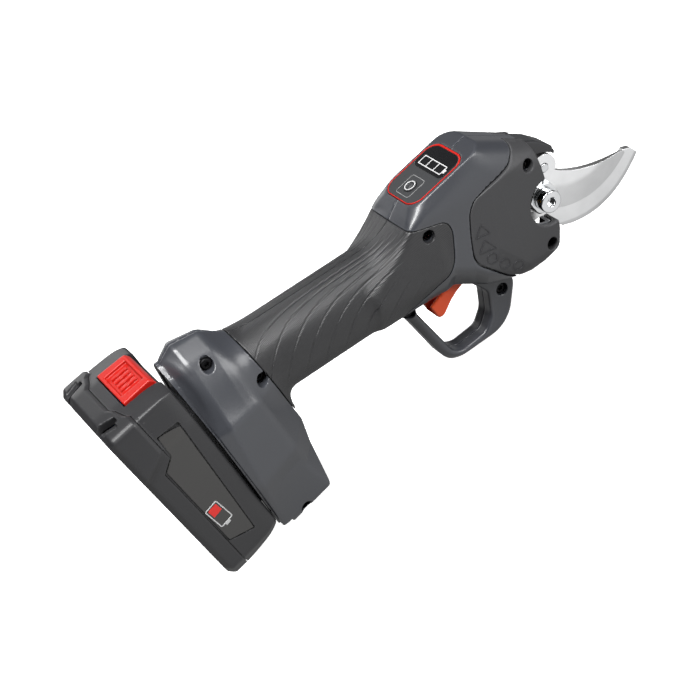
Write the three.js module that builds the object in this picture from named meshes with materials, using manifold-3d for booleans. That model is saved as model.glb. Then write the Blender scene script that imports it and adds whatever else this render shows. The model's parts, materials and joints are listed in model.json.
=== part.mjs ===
// Battery electric pruner. Millimetres. +X runs from the battery's flat underside towards the
// blades, +Z is the display side, +Y is the tool's left. The origin is the centre of the
// battery's flat underside.
//
// Two leaning frames hold most of the sizes. The handle frame leans its own x axis (along the
// grip, towards the blades) down by GRIP_LEAN. The seat frame lies in the plane where the
// battery slides on, tilted by SEAT_TILT.

import * as THREE from 'three';
import { mergeVertices } from 'three/addons/utils/BufferGeometryUtils.js';
import Module from 'manifold-3d';

const wasm = await Module();
wasm.setup();

// ---- driving dimensions -------------------------------------------------------------------

const DEGREE = Math.PI / 180;
const GAP = 0.3;
const WALL = 2.4;
const FAR = 120;

const GRIP_LEAN = 12 * DEGREE;
const SEAT_TILT = 4.2 * DEGREE;
const SEAT_HEIGHT = 42.1;

const DRIVE_HEIGHT = 31;
const GRIP_HEIGHT = 30;
const GRIP_HALF_DEPTH = 22.5;
const GRIP_HALF_WIDTH = 19;
const PANEL_THICKNESS = 2.2;
const COVER_PROUD = 0.8;
const GUARD_HALF_WIDTH = 7.5;

const PIVOT = [263.5, 23.7];
const EAR_ARM = 14.65;
const EAR_ANGLE_CLOSED = 47.5 * DEGREE;
const BLADE_OPENING = 44 * DEGREE;
const BLADE_THICKNESS = 4.1;
const LINK_LENGTH = 28;
const LINK_THICKNESS = 3.6;
const PIN_RADIUS = 2.5;
const BOLT_RADIUS = 5;

const GEAR_MODULE = 0.5;
const SUN_TEETH = 12;
const PLANET_TEETH = 15;
const RING_TEETH = SUN_TEETH + 2 * PLANET_TEETH;
const PLANET_COUNT = 3;
const GEARBOX_RADIUS = 13;

const DISPLAY_CENTRE = [207.6, 70.8];
const DISPLAY_LENGTH = 38.8;
const DISPLAY_WIDTH = 31;
const NOSE_HALF = 8;
const BATTERY_CELLS = 5;
const CELL_RADIUS = 9.1;
const CELL_LENGTH = 64;

// ---- materials ----------------------------------------------------------------------------

function finish(color, roughness, metalness = 0) {
  return new THREE.MeshStandardMaterial({ color, roughness, metalness });
}

const SHELL = [0x54565b, 0.28];
const COVER = [0x4b4c4d, 0.6];
const SOFT_GRIP = [0x3b3b3c, 0.8];
const CASE = [0x373839, 0.65];
const RED = [0xe52a1c, 0.4];
const ORANGE = [0xf4502a, 0.45];
const PANEL = [0x3c3d3e, 0.5];
const CHROME = [0xd9dadb, 0.12, 1];
const BLADE_STEEL = [0xcfd1d2, 0.3, 1];
const GEAR_STEEL = [0x9a9c9e, 0.4, 1];
const BLACK_STEEL = [0x2a2b2c, 0.45, 0.8];
const BRASS = [0xb9985a, 0.35, 1];
const BOARD = [0x1f5a35, 0.55];
const CELL_WRAP = [0x2f6fa8, 0.45];
const RUBBER_RED = [0xa32020, 0.6];
const RUBBER_BLACK = [0x1b1b1b, 0.6];
const NYLON = [0x232425, 0.6];

// ---- solids -------------------------------------------------------------------------------

function toSolid(geometry) {
  geometry.deleteAttribute('normal');
  geometry.deleteAttribute('uv');
  const merged = mergeVertices(geometry);
  return new wasm.Manifold(new wasm.Mesh({
    numProp: 3,
    vertProperties: new Float32Array(merged.attributes.position.array),
    triVerts: new Uint32Array(merged.index.array),
  }));
}

function toGeometry(solid) {
  const cutMesh = solid.getMesh();
  const geometry = new THREE.BufferGeometry();
  geometry.setAttribute('position', new THREE.BufferAttribute(cutMesh.vertProperties, 3));
  geometry.setIndex(new THREE.BufferAttribute(cutMesh.triVerts, 1));
  geometry.computeVertexNormals();
  return geometry;
}

function joined(first, ...others) {
  return others.reduce((sum, other) => sum.add(other), first);
}

function cut(base, ...tools) {
  return tools.reduce((rest, tool) => rest.subtract(tool), base);
}

function node(name, solid, look) {
  const piece = new THREE.Mesh(toGeometry(solid), finish(...look));
  piece.name = name;
  return piece;
}

function polygon(points) {
  return new THREE.Shape(points.map(([x, z]) => new THREE.Vector2(x, z)));
}

// A plate stands in the x-z plane and is thick along y.
function plate(shape, yLow, yHigh, curveSegments = 6) {
  const options = { depth: yHigh - yLow, bevelEnabled: false, curveSegments };
  const geometry = new THREE.ExtrudeGeometry(shape, options);
  return toSolid(geometry.rotateX(Math.PI / 2).translate(0, yHigh, 0));
}

// A slab lies in the x-y plane and is thick along z.
function slab(shape, zLow, zHigh, curveSegments = 5) {
  const options = { depth: zHigh - zLow, bevelEnabled: false, curveSegments };
  return toSolid(new THREE.ExtrudeGeometry(shape, options).translate(0, 0, zLow));
}

function block([xLow, xHigh], [yLow, yHigh], [zLow, zHigh]) {
  const geometry = new THREE.BoxGeometry(xHigh - xLow, yHigh - yLow, zHigh - zLow);
  geometry.translate((xLow + xHigh) / 2, (yLow + yHigh) / 2, (zLow + zHigh) / 2);
  return toSolid(geometry);
}

// A round bar across the tool, along y.
function crossBar(radius, yLow, yHigh, [x, z], sides = 16) {
  const geometry = new THREE.CylinderGeometry(radius, radius, yHigh - yLow, sides);
  return toSolid(geometry.translate(x, (yLow + yHigh) / 2, z));
}

// A round bar on the drive axis, along x.
function axisBar(radius, xLow, xHigh, sides = 24) {
  const geometry = new THREE.CylinderGeometry(radius, radius, xHigh - xLow, sides);
  geometry.rotateZ(-Math.PI / 2).translate((xLow + xHigh) / 2, 0, 0);
  return toSolid(geometry);
}

function roundedRectangle(length, width, radius) {
  const x = length / 2;
  const y = width / 2;
  const shape = new THREE.Shape();
  shape.moveTo(-x + radius, -y);
  shape.lineTo(x - radius, -y);
  shape.absarc(x - radius, -y + radius, radius, -Math.PI / 2, 0);
  shape.lineTo(x, y - radius);
  shape.absarc(x - radius, y - radius, radius, 0, Math.PI / 2);
  shape.lineTo(-x + radius, y);
  shape.absarc(-x + radius, y - radius, radius, Math.PI / 2, Math.PI);
  shape.lineTo(-x, -y + radius);
  shape.absarc(-x + radius, -y + radius, radius, Math.PI, 1.5 * Math.PI);
  return shape;
}

// ---- lofted shells ------------------------------------------------------------------------

// A section lists [half width, height] points from the bottom centre to the top centre.
const SECTION_SIDES = 24;

function shrunk(section, inset) {
  const low = section[0][1];
  const high = section.at(-1)[1];
  const middle = (low + high) / 2;
  const widest = Math.max(...section.map(([width]) => width));
  const widthScale = (widest - inset) / widest;
  const heightScale = (high - low - 2 * inset) / (high - low);
  return section.map(([width, height]) => [
    width * widthScale,
    middle + (height - middle) * heightScale,
  ]);
}

function bothSides(section) {
  const left = section.map(([width, height]) => [width, height]);
  const right = section.slice(1, -1).reverse().map(([width, height]) => [-width, height]);
  return left.concat(right);
}

function smoothRing(along, section) {
  const corners = bothSides(section).map(([y, z]) => new THREE.Vector3(along, y, z));
  const curve = new THREE.CatmullRomCurve3(corners, true, 'centripetal');
  const steps = Array.from({ length: SECTION_SIDES }, (_, step) => step / SECTION_SIDES);
  return steps.map((t) => curve.getPoint(t));
}

function loft(rings) {
  const sides = rings[0].length;
  const positions = rings.flat().flatMap((point) => [point.x, point.y, point.z]);
  const centres = [rings[0], rings.at(-1)].map((ring) => {
    const centre = new THREE.Vector3();
    ring.forEach((point) => centre.addScaledVector(point, 1 / sides));
    return centre;
  });
  centres.forEach((centre) => positions.push(centre.x, centre.y, centre.z));
  const startCentre = rings.length * sides;
  const endRing = (rings.length - 1) * sides;
  const index = [];
  for (let side = 0; side < sides; side += 1) {
    const next = (side + 1) % sides;
    for (let ring = 0; ring < rings.length - 1; ring += 1) {
      const near = ring * sides;
      const far = near + sides;
      index.push(near + side, near + next, far + next, near + side, far + next, far + side);
    }
    index.push(startCentre, next, side);
    index.push(startCentre + 1, endRing + side, endRing + next);
  }
  const geometry = new THREE.BufferGeometry();
  geometry.setAttribute('position', new THREE.Float32BufferAttribute(positions, 3));
  geometry.setIndex(index);
  return geometry;
}

function gripSection(halfDepth, halfWidth) {
  return [
    [0, GRIP_HEIGHT - halfDepth],
    [0.62 * halfWidth, GRIP_HEIGHT - 0.82 * halfDepth],
    [halfWidth, GRIP_HEIGHT - 0.3 * halfDepth],
    [halfWidth, GRIP_HEIGHT + 0.3 * halfDepth],
    [0.62 * halfWidth, GRIP_HEIGHT + 0.82 * halfDepth],
    [0, GRIP_HEIGHT + halfDepth],
  ];
}

// Handle frame: distance along the grip, section.
const HANDLE_SECTIONS = [
  [60, gripSection(26, 22)],
  [78, gripSection(24, 20.5)],
  [92, gripSection(GRIP_HALF_DEPTH, GRIP_HALF_WIDTH)],
  [160, gripSection(GRIP_HALF_DEPTH, GRIP_HALF_WIDTH)],
  [170, [[0, 8], [12, 11], [19.5, 23], [19.5, 38], [12, 50.5], [0, 54]]],
  [178, [[0, 8.5], [12, 11.5], [20, 22], [20.5, 40], [14, 53.5], [0, 57.5]]],
  [188, [[0, 9.5], [12, 11.5], [20.5, 21], [21.5, 46], [17, 65], [0, 68.5]]],
  [203, [[0, 4], [12, 6], [20.5, 17], [21.5, 47], [19, 70], [0, 72]]],
  [214, [[0, -4], [12, -1], [20.5, 14], [21.5, 48], [19, 72.5], [0, 74.5]]],
  [236, [[0, -8], [13, -6.5], [21, 6], [21, 46], [18.5, 76.5], [0, 79]]],
  [246, [[0, -8], [14, -6.5], [20.5, 4], [20.5, 46], [12.5, 68], [0, 73]]],
  [258, [[0, -7], [14, -5.5], [19, 3], [18.5, 45], [9.5, 60], [0, 64]]],
  [265.5, [[0, -4.5], [12, -3], [17, 5.5], [16, 40], [8, 54], [0, 58.5]]],
];

// Seat frame: height above the seat, plan section from the front to the rear.
const FOOT_SECTIONS = [
  [0, [[0, -60], [27, -58], [34, -20], [32, 13], [14, 43], [0, 50]]],
  [9, [[0, -65], [31, -63], [38, -22], [34, 16], [14, 49], [0, 58]]],
  [29, [[0, -64], [28, -61], [31, -22], [28, 14], [14, 44], [0, 53]]],
  [33, [[0, -58], [24, -55], [28, -20], [25, 12], [14, 40], [0, 49]]],
  [40, [[0, -28], [14, -24], [21.5, -8], [22, 10], [15, 34], [0, 42]]],
  [46, [[0, -6], [10, -3], [18, 5], [18, 20], [12, 32], [0, 36]]],
];

function handleLoft(inset) {
  const rings = HANDLE_SECTIONS.map(([along, section]) => smoothRing(along, shrunk(section, inset)));
  return toSolid(loft(rings));
}

function seatToHandle(geometry) {
  return geometry.rotateY(SEAT_TILT).translate(SEAT_HEIGHT, 0, 0).rotateY(-GRIP_LEAN);
}

function footLoft(inset, openBelow) {
  const sections = inset > 0 ? FOOT_SECTIONS.slice(0, 4) : FOOT_SECTIONS;
  const rings = sections.map(([height, section], level) => {
    const drop = openBelow && level === 0 ? 1 : 0;
    return smoothRing(height - drop - (level > 0 ? inset / 2 : 0), shrunk(section, inset));
  });
  return toSolid(seatToHandle(loft(rings)));
}

// ---- handle outlines ----------------------------------------------------------------------

const PANEL_OUTLINE = [
  [150, -10], [164, 12], [192, 22], [198, 27], [203, 45], [201, 52], [190, 55], [178, 58.5],
  [172, 70], [40, 70], [40, -10],
];
const COVER_OUTLINE = [
  [261, 66], [252, 59], [240, 56], [226, 53.5], [219, 49.5], [215.5, 42], [212, 22], [213, 15],
  [220, 5], [229, -5], [231, -30], [300, -30], [300, 90], [261, 90],
];
const GUARD_OUTER = [
  [240, -2], [234, -18], [226, -33], [220, -38.5], [213, -41], [189, -41.5], [182, -39],
  [178, -34], [167, 0], [158, 12], [170, 20], [225, 20],
];
const GUARD_OPENING = [
  [216, -13], [213, -27], [206, -35], [190, -36.5], [184, -33], [172, 3], [175, 9], [190, 9.5],
  [203, 3.5], [210, -4],
];
const TRIGGER_HINGE = [208, 8];
const TRIGGER_PIN_RADIUS = 2;
const TRIGGER_SLOT = [[179, 2], [206, -6], [214.5, -1], [214.5, 14], [204, 19], [179, 14]];

// Every screw goes in from the right: [name, along, height, y of the head's outer face].
const SCREWS = [
  ['screw_body', 189, 50, -15.5],
  ['screw_guard_front', 224, -16, -5.5],
  ['screw_guard_rear', 168.5, 5, -5.5],
  ['screw_cover_upper', 257.5, 51.5, -12],
  ['screw_cover_lower', 256.5, -0.5, -12],
  ['screw_foot_rear', 54, 55, -15],
  ['screw_foot_middle', 75.5, 32, -16],
  ['screw_foot_front', 65, -47, -20],
];
const SCREW_HEAD_RADIUS = 3.4;
const SCREW_HEAD_HEIGHT = 2.4;
const SCREW_RADIUS = 1.7;
const SCREW_REACH = 5;
const BOSS_RADIUS = 4.6;

function screwHoles() {
  return SCREWS.map(([, along, height, headY]) => {
    const place = [along, height];
    const seat = headY + SCREW_HEAD_HEIGHT + GAP;
    const recess = crossBar(SCREW_HEAD_RADIUS + GAP, -FAR, seat, place, 12);
    const bore = crossBar(SCREW_RADIUS + GAP, headY, SCREW_REACH + 1, place, 8);
    return recess.add(bore);
  });
}

function screwBosses() {
  return SCREWS.map(([, along, height]) => crossBar(BOSS_RADIUS, -30, 30, [along, height], 12));
}

function screw(name, along, height, headY) {
  const head = crossBar(SCREW_HEAD_RADIUS, headY, headY + SCREW_HEAD_HEIGHT, [along, height], 12);
  const shank = crossBar(SCREW_RADIUS, headY + 1, SCREW_REACH, [along, height], 8);
  const socket = crossBar(SCREW_RADIUS, headY - 1, headY + 1.4, [along, height], 6);
  return node(name, cut(head.add(shank), socket), BLACK_STEEL);
}

// ---- housing, panels and covers -----------------------------------------------------------

// The panels end where the foot begins: a plane parallel to the battery's underside.
const PANEL_REAR = 84;

function gripPrism(spread) {
  const behind = new THREE.BoxGeometry(FAR, 2 * FAR, 2 * FAR);
  behind.translate(PANEL_REAR - spread - FAR / 2, 0, 0).rotateY(-GRIP_LEAN);
  return cut(plate(polygon(PANEL_OUTLINE), -FAR, FAR), toSolid(behind));
}

// Room for the blades, the link and the nut.
const HEAD_SPACE = [
  [208, 8], [246, 2], [256, 6.5], [300, -30], [300, 60], [262, 49], [244, 47], [208, 47],
];
const PIVOT_NOTCH_RADIUS = 14;

function bladeSlot() {
  return plate(polygon(HEAD_SPACE), -6, 15.5);
}

function pivotNotch() {
  return crossBar(PIVOT_NOTCH_RADIUS, -FAR, FAR, PIVOT, 28);
}

function displayOutline(spread) {
  return roundedRectangle(DISPLAY_LENGTH + 2 * spread, DISPLAY_WIDTH + 2 * spread, 8 + spread);
}

function displayPocket() {
  const pocket = slab(displayOutline(GAP), -7, 30);
  const above = block([-33, 30.5], [-30, 30], [0, 30]);
  return inDisplay(joined(pocket, above));
}

function inDisplay(solid) {
  const geometry = toGeometry(solid);
  geometry.rotateY(-GRIP_LEAN).translate(DISPLAY_CENTRE[0], 0, DISPLAY_CENTRE[1]);
  return toSolid(geometry);
}

function footVents() {
  const bars = [-15, -5, 5, 15].map((y) => block([16, 30], [y - 2, y + 2], [-70, -50]));
  return toSolid(seatToHandle(toGeometry(joined(...bars))));
}

function half(solid, side) {
  const keep = side < 0 ? [-FAR, -GAP / 2] : [GAP / 2, FAR];
  const box = block([-50, 400], keep, [-200, 200]);
  return solid.intersect(box);
}

function housingSolid() {
  const skin = handleLoft(0);
  const foot = footLoft(0, false);
  const coverZone = plate(polygon(COVER_OUTLINE), -FAR, FAR);
  const coverSpace = handleLoft(-COVER_PROUD - GAP).intersect(coverZone);
  const guard = cut(
    plate(polygon(GUARD_OUTER), -GUARD_HALF_WIDTH, GUARD_HALF_WIDTH),
    plate(polygon(GUARD_OPENING), -FAR, FAR),
    coverSpace,
  );
  const panelSpace = cut(handleLoft(-FAR / 10), handleLoft(PANEL_THICKNESS + GAP))
    .intersect(gripPrism(GAP));
  const coverSkin = cut(
    coverZone, handleLoft(WALL + GAP), block([0, 400], [-3.6, 3.6], [20, 100]),
  );
  const outer = cut(joined(skin.subtract(coverSkin), guard, foot), panelSpace);
  const cavity = joined(
    handleLoft(PANEL_THICKNESS + WALL).intersect(block([40, 204], [-FAR, FAR], [-FAR, FAR])),
    handleLoft(2 * WALL + GAP).intersect(block([203, 268], [-FAR, FAR], [-FAR, FAR])),
    footLoft(WALL, true),
  );
  const hollow = cut(cavity, ...screwBosses());
  const tools = [
    hollow, bladeSlot(), pivotNotch(), displayPocket(), footVents(), ...screwHoles(),
    plate(polygon(TRIGGER_SLOT), -6.6, 6.6), plate(nosePath(GAP), -NOSE_HALF - GAP, NOSE_HALF + GAP),
    crossBar(TRIGGER_PIN_RADIUS + GAP, -9.3, 9.3, TRIGGER_HINGE, 12),
  ];
  return cut(outer, ...tools);
}

function gripPanels() {
  const skin = cut(handleLoft(0), handleLoft(PANEL_THICKNESS)).intersect(gripPrism(0));
  const trimmed = cut(skin, ...screwHoles());
  return [
    node('right_grip_panel', half(trimmed, -1), SOFT_GRIP),
    node('left_grip_panel', half(trimmed, 1), SOFT_GRIP),
  ];
}

function gearCovers() {
  const zone = plate(polygon(COVER_OUTLINE), -FAR, FAR);
  const shell = cut(handleLoft(-COVER_PROUD), handleLoft(WALL)).intersect(zone);
  const inset = plate(polygon(COVER_OUTLINE.map(([x, z]) => [x - GAP, z])), -FAR, FAR);
  const mouth = block([262, 300], [-5.5, 5.5], [-30, 90]);
  const centre = block([0, 400], [-3.9, 3.9], [-30, 100]);
  const chin = block([0, 400], [-0.2, 0.2], [-30, 100]);
  const nose = plate(nosePath(GAP), -NOSE_HALF - GAP, NOSE_HALF + GAP);
  const tools = [mouth, nose, bladeSlot(), pivotNotch(), chin, ...screwHoles()];
  const body = cut(shell.intersect(inset), ...tools);
  const trimmed = body.subtract(centre.intersect(block([0, 400], [-9, 9], [20, 100])));
  return [
    node('right_gear_cover', half(trimmed, -1), COVER),
    node('left_gear_cover', half(trimmed, 1), COVER),
  ];
}

function nosePath(spread) {
  const clear = EAR_ARM + 9 - spread;
  const shape = new THREE.Shape();
  shape.moveTo(263, 60 + spread);
  shape.lineTo(272, 54.5 + spread);
  shape.quadraticCurveTo(280 + spread, 49 + spread, 285 + spread, 37.5);
  const from = Math.atan2(35.5 - PIVOT[1], 284 - PIVOT[0]);
  shape.absarc(PIVOT[0], PIVOT[1], clear, from, 92 * DEGREE);
  shape.lineTo(263, 50);
  return shape;
}

// The opened blade passes the right side of the nose below this bearing from the pivot.
const BLADE_RELIEF_BEARING = 48 * DEGREE;

function noseCap() {
  const reach = 60;
  const relief = [0, BLADE_RELIEF_BEARING].map((bearing) => [
    PIVOT[0] + reach * Math.cos(bearing), PIVOT[1] + reach * Math.sin(bearing),
  ]);
  const tip = plate(polygon([PIVOT, ...relief]), -FAR, GAP);
  return node('nose_cap', cut(plate(nosePath(0), -NOSE_HALF, NOSE_HALF), tip), NYLON);
}

// ---- display ------------------------------------------------------------------------------

function displayPieces() {
  const group = new THREE.Group();
  group.position.set(DISPLAY_CENTRE[0], 0, DISPLAY_CENTRE[1]);
  group.rotation.y = -GRIP_LEAN;
  const ring = cut(
    slab(displayOutline(0), -2.2, 0.5),
    slab(displayOutline(-0.8), -3, 1),
  );
  const buttonPlace = -10;
  const opening = new THREE.BoxGeometry(12.6, 12.6, 10).translate(buttonPlace, 0, 0);
  const lens = cut(slab(displayOutline(-0.8 - GAP), -2.2, 0.1), toSolid(opening));
  const button = slab(roundedRectangle(12, 12, 3), -2.4, 0.4).translate([buttonPlace, 0, 0]);
  const board = block([-16.5, 16.5], [-12, 12], [-5.6, -4]);
  group.add(
    node('display_trim_ring', ring, RED),
    node('display_lens', lens, PANEL),
    node('power_button', button, PANEL),
    node('display_board', board, BOARD),
  );
  return group;
}

// ---- trigger ------------------------------------------------------------------------------

function triggerSolid() {
  const shape = new THREE.Shape();
  shape.moveTo(212, 8);
  shape.quadraticCurveTo(211, 3, 204, 0.5);
  shape.quadraticCurveTo(195, -2.5, 189, -8.5);
  shape.quadraticCurveTo(186, -11, 183, -8.5);
  shape.lineTo(181, -0.5);
  shape.quadraticCurveTo(190, 3, 198, 5);
  shape.lineTo(204, 11);
  shape.quadraticCurveTo(211, 14, 212, 8);
  const solid = plate(shape, -6, 6, 5);
  const pocket = plate(polygon([[184.5, 10], [183.5, -5.5], [187, -7], [195, -0.5], [200, 10]]), -4, 4);
  const rib = plate(polygon([[190.5, 3], [190.5, -9], [192, -9], [192, 3]]), -4.2, 4.2);
  const skin = cut(solid, pocket.subtract(rib));
  return cut(skin, crossBar(TRIGGER_PIN_RADIUS + GAP, -FAR, FAR, TRIGGER_HINGE, 12));
}

function springPath(radius, length, turns) {
  const steps = turns * 8;
  const points = Array.from({ length: steps + 1 }, (_, step) => {
    const turn = (step / steps) * turns * 2 * Math.PI;
    return new THREE.Vector3(
      radius * Math.cos(turn), radius * Math.sin(turn), (length * step) / steps,
    );
  });
  return new THREE.CatmullRomCurve3(points);
}

function tube(path, radius, steps, sides = 6) {
  const circle = new THREE.Shape();
  for (let side = 0; side < sides; side += 1) {
    const turn = (side / sides) * 2 * Math.PI;
    const point = [radius * Math.cos(turn), radius * Math.sin(turn)];
    if (side === 0) circle.moveTo(...point);
    else circle.lineTo(...point);
  }
  const options = { steps, extrudePath: path, bevelEnabled: false };
  return toSolid(new THREE.ExtrudeGeometry(circle, options));
}

function coilSpring(radius, wire, length, turns) {
  return tube(springPath(radius, length, turns), wire, turns * 8, 5);
}

// ---- drive train --------------------------------------------------------------------------

function gearOutline(teeth, rootRadius, tipRadius, rootHalf, tipHalf, path = new THREE.Shape()) {
  for (let tooth = 0; tooth < teeth; tooth += 1) {
    const middle = (tooth / teeth) * 2 * Math.PI;
    const corners = [
      [rootRadius, middle - rootHalf / rootRadius], [tipRadius, middle - tipHalf / tipRadius],
      [tipRadius, middle + tipHalf / tipRadius], [rootRadius, middle + rootHalf / rootRadius],
    ];
    corners.forEach(([radius, angle], corner) => {
      const point = [radius * Math.cos(angle), radius * Math.sin(angle)];
      if (tooth === 0 && corner === 0) path.moveTo(...point);
      else path.lineTo(...point);
    });
  }
  path.closePath();
  return path;
}

// Outlines drawn around the drive axis, made thick along x.
function onAxis(shape, xLow, xHigh, curveSegments = 12) {
  const options = { depth: xHigh - xLow, bevelEnabled: false, curveSegments };
  const geometry = new THREE.ExtrudeGeometry(shape, options);
  return toSolid(geometry.rotateY(Math.PI / 2).rotateX(Math.PI / 2).translate(xLow, 0, 0));
}

function externalGear(teeth, xLow, xHigh) {
  const pitch = (GEAR_MODULE * teeth) / 2;
  return onAxis(gearOutline(teeth, pitch - 0.6, pitch + 0.36, 0.4, 0.16), xLow, xHigh);
}

const MOTOR = [118, 160];
const GEARBOX = [162, 184];
const PLANETS = [168, 174];
const SCREW_BEARING = [190, 197];
const SCREW_END = 222.5;
const PLANET_ORBIT = (GEAR_MODULE * (SUN_TEETH + PLANET_TEETH)) / 2;

function motorCase() {
  const can = axisBar(GEARBOX_RADIUS, ...MOTOR);
  const bore = axisBar(9.5, MOTOR[0] + 2, MOTOR[1] - 2, 20);
  return node('motor_case', cut(can, bore, axisBar(2.4, 0, 400, 12)), BLACK_STEEL);
}

function rotor() {
  const shaft = axisBar(1.8, MOTOR[0] - 2, PLANETS[1] - 1, 10);
  const core = axisBar(9, MOTOR[0] + 3, MOTOR[1] - 3, 16);
  const pinion = externalGear(SUN_TEETH, PLANETS[0], PLANETS[1] - 1);
  return node('motor_rotor', joined(shaft, core, pinion), GEAR_STEEL);
}

function ringGear() {
  const pitch = (GEAR_MODULE * RING_TEETH) / 2;
  const shape = new THREE.Shape();
  shape.absarc(0, 0, GEARBOX_RADIUS, 0, 2 * Math.PI);
  shape.holes.push(gearOutline(RING_TEETH, pitch - 0.36, pitch + 0.6, 0.62, 0.4, new THREE.Path()));
  const band = onAxis(shape, PLANETS[0] - 2, PLANETS[1] + 2);
  const flange = cut(
    axisBar(GEARBOX_RADIUS, GEARBOX[0], PLANETS[0] - 2), axisBar(11.2, 0, 400),
  );
  const nose = cut(
    axisBar(GEARBOX_RADIUS, PLANETS[1] + 2, GEARBOX[1]),
    axisBar(11.2, 0, PLANETS[1] + 7), axisBar(7, 0, 400, 20),
  );
  return node('ring_gear', joined(band, flange, nose), GEAR_STEEL);
}

function planetPlaces() {
  return Array.from({ length: PLANET_COUNT }, (_, copy) => (copy / PLANET_COUNT) * 2 * Math.PI);
}

function planetCarrier() {
  const disc = axisBar(9.6, PLANETS[1] + 0.4, PLANETS[1] + 4, 20);
  const pins = planetPlaces().map((turn) => {
    const pin = axisBar(1.3, PLANETS[0], PLANETS[1] + 1, 8);
    return pin.translate([0, PLANET_ORBIT * Math.cos(turn), PLANET_ORBIT * Math.sin(turn)]);
  });
  const neck = axisBar(6, PLANETS[1] + 3, SCREW_BEARING[0] - 2.3, 16);
  return node('planet_carrier', joined(disc, neck, ...pins), GEAR_STEEL);
}

function planet(copy, turn) {
  const gear = cut(externalGear(PLANET_TEETH, PLANETS[0], PLANETS[1]), axisBar(1.6, 0, 400, 10));
  const piece = node(`planet_gear_${copy + 1}`, gear, GEAR_STEEL);
  piece.position.set(0, PLANET_ORBIT * Math.cos(turn), PLANET_ORBIT * Math.sin(turn));
  piece.rotation.x = turn;
  return piece;
}

function driveScrew() {
  const root = axisBar(5, SCREW_BEARING[0] - 2, SCREW_BEARING[0] - 0.5, 16);
  const journal = axisBar(4.4, SCREW_BEARING[0] - 1, SCREW_BEARING[1] + 1, 16);
  const collars = Array.from({ length: 4 }, (_, turn) => {
    const start = SCREW_BEARING[1] + 2 + 4 * turn;
    return axisBar(4, start, start + 2.4, 12);
  });
  const core = axisBar(3.4, SCREW_BEARING[1], SCREW_END, 12);
  return node('drive_screw', joined(root, journal, core, ...collars), GEAR_STEEL);
}

function screwBearing() {
  return node('screw_bearing', cut(axisBar(10.5, ...SCREW_BEARING), axisBar(4.7, 0, 400)), CHROME);
}

function onDriveAxis(...pieces) {
  const group = new THREE.Group();
  group.position.z = DRIVE_HEIGHT;
  group.add(...pieces);
  return group;
}

// The blade's ear and the nut's pin, in the handle frame, with the blade opened by an angle.
function earPin(opening) {
  const angle = EAR_ANGLE_CLOSED + opening;
  return [PIVOT[0] + EAR_ARM * Math.cos(angle), PIVOT[1] + EAR_ARM * Math.sin(angle)];
}

function nutPin(opening) {
  const [along, height] = earPin(opening);
  const rise = height - DRIVE_HEIGHT;
  return [along - Math.sqrt(LINK_LENGTH ** 2 - rise ** 2), DRIVE_HEIGHT];
}

const LINK_LOW = BLADE_THICKNESS + 0.5;
const NUT_BODY = [216, 238];

function screwNut() {
  const [pinAlong] = nutPin(0);
  const body = axisBar(8, ...NUT_BODY, 20);
  const tongue = block([NUT_BODY[1] - 4, pinAlong + 4], [0.6, LINK_LOW - GAP], [-4, 4]);
  const bore = axisBar(4.3, 0, NUT_BODY[1] - 5, 16);
  const pinBore = crossBar(PIN_RADIUS + GAP, -FAR, FAR, [pinAlong, 0], 12);
  return node('screw_nut', cut(joined(body, tongue), bore, pinBore), BRASS);
}

function linkPin() {
  const place = nutPin(0);
  return node('link_pin', crossBar(PIN_RADIUS, 0.8, LINK_LOW + LINK_THICKNESS + 0.6, place, 12), CHROME);
}

function driveLink() {
  const start = nutPin(0);
  const end = earPin(0);
  const lean = Math.atan2(end[1] - start[1], end[0] - start[0]);
  const yRange = [LINK_LOW, LINK_LOW + LINK_THICKNESS];
  const eyes = [start, end].map((place) => crossBar(6, ...yRange, place, 20));
  const bar = new THREE.BoxGeometry(LINK_LENGTH, LINK_THICKNESS, 7)
    .rotateY(-lean)
    .translate((start[0] + end[0]) / 2, LINK_LOW + LINK_THICKNESS / 2, (start[1] + end[1]) / 2);
  const holes = [
    crossBar(PIN_RADIUS + GAP, -FAR, FAR, start, 12),
    crossBar(PIN_RADIUS + 1.4, -FAR, FAR, end, 16),
  ];
  return node('drive_link', cut(joined(toSolid(bar), ...eyes), ...holes), GEAR_STEEL);
}

// ---- cutting head -------------------------------------------------------------------------

function cuttingBlade() {
  const ear = earPin(0);
  const shape = new THREE.Shape();
  shape.moveTo(280.5, 28.5);
  shape.bezierCurveTo(291, 20.5, 305, 16, 322.5, 14);
  shape.quadraticCurveTo(325.5, 12.8, 326, 10.5);
  shape.bezierCurveTo(313, 0, 294, -5.5, 274, 5);
  shape.lineTo(262, 12);
  shape.quadraticCurveTo(254, 14, 252, 24);
  shape.quadraticCurveTo(254, 33, 265, 38);
  const blade = plate(shape, -BLADE_THICKNESS - 0.15, -0.15, 8);
  const earDisc = crossBar(8, -BLADE_THICKNESS - 0.15, -0.15, ear, 24);
  const holes = [
    crossBar(BOLT_RADIUS + GAP, -FAR, FAR, PIVOT, 20),
    crossBar(PIN_RADIUS + GAP, -FAR, FAR, ear, 14),
  ];
  return node('cutting_blade', cut(joined(blade, earDisc), ...holes), BLADE_STEEL);
}

function bladePin() {
  const pin = crossBar(PIN_RADIUS, -BLADE_THICKNESS - 0.8, LINK_LOW + LINK_THICKNESS + 0.8, earPin(0), 14);
  return node('blade_pin', pin, CHROME);
}

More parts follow.
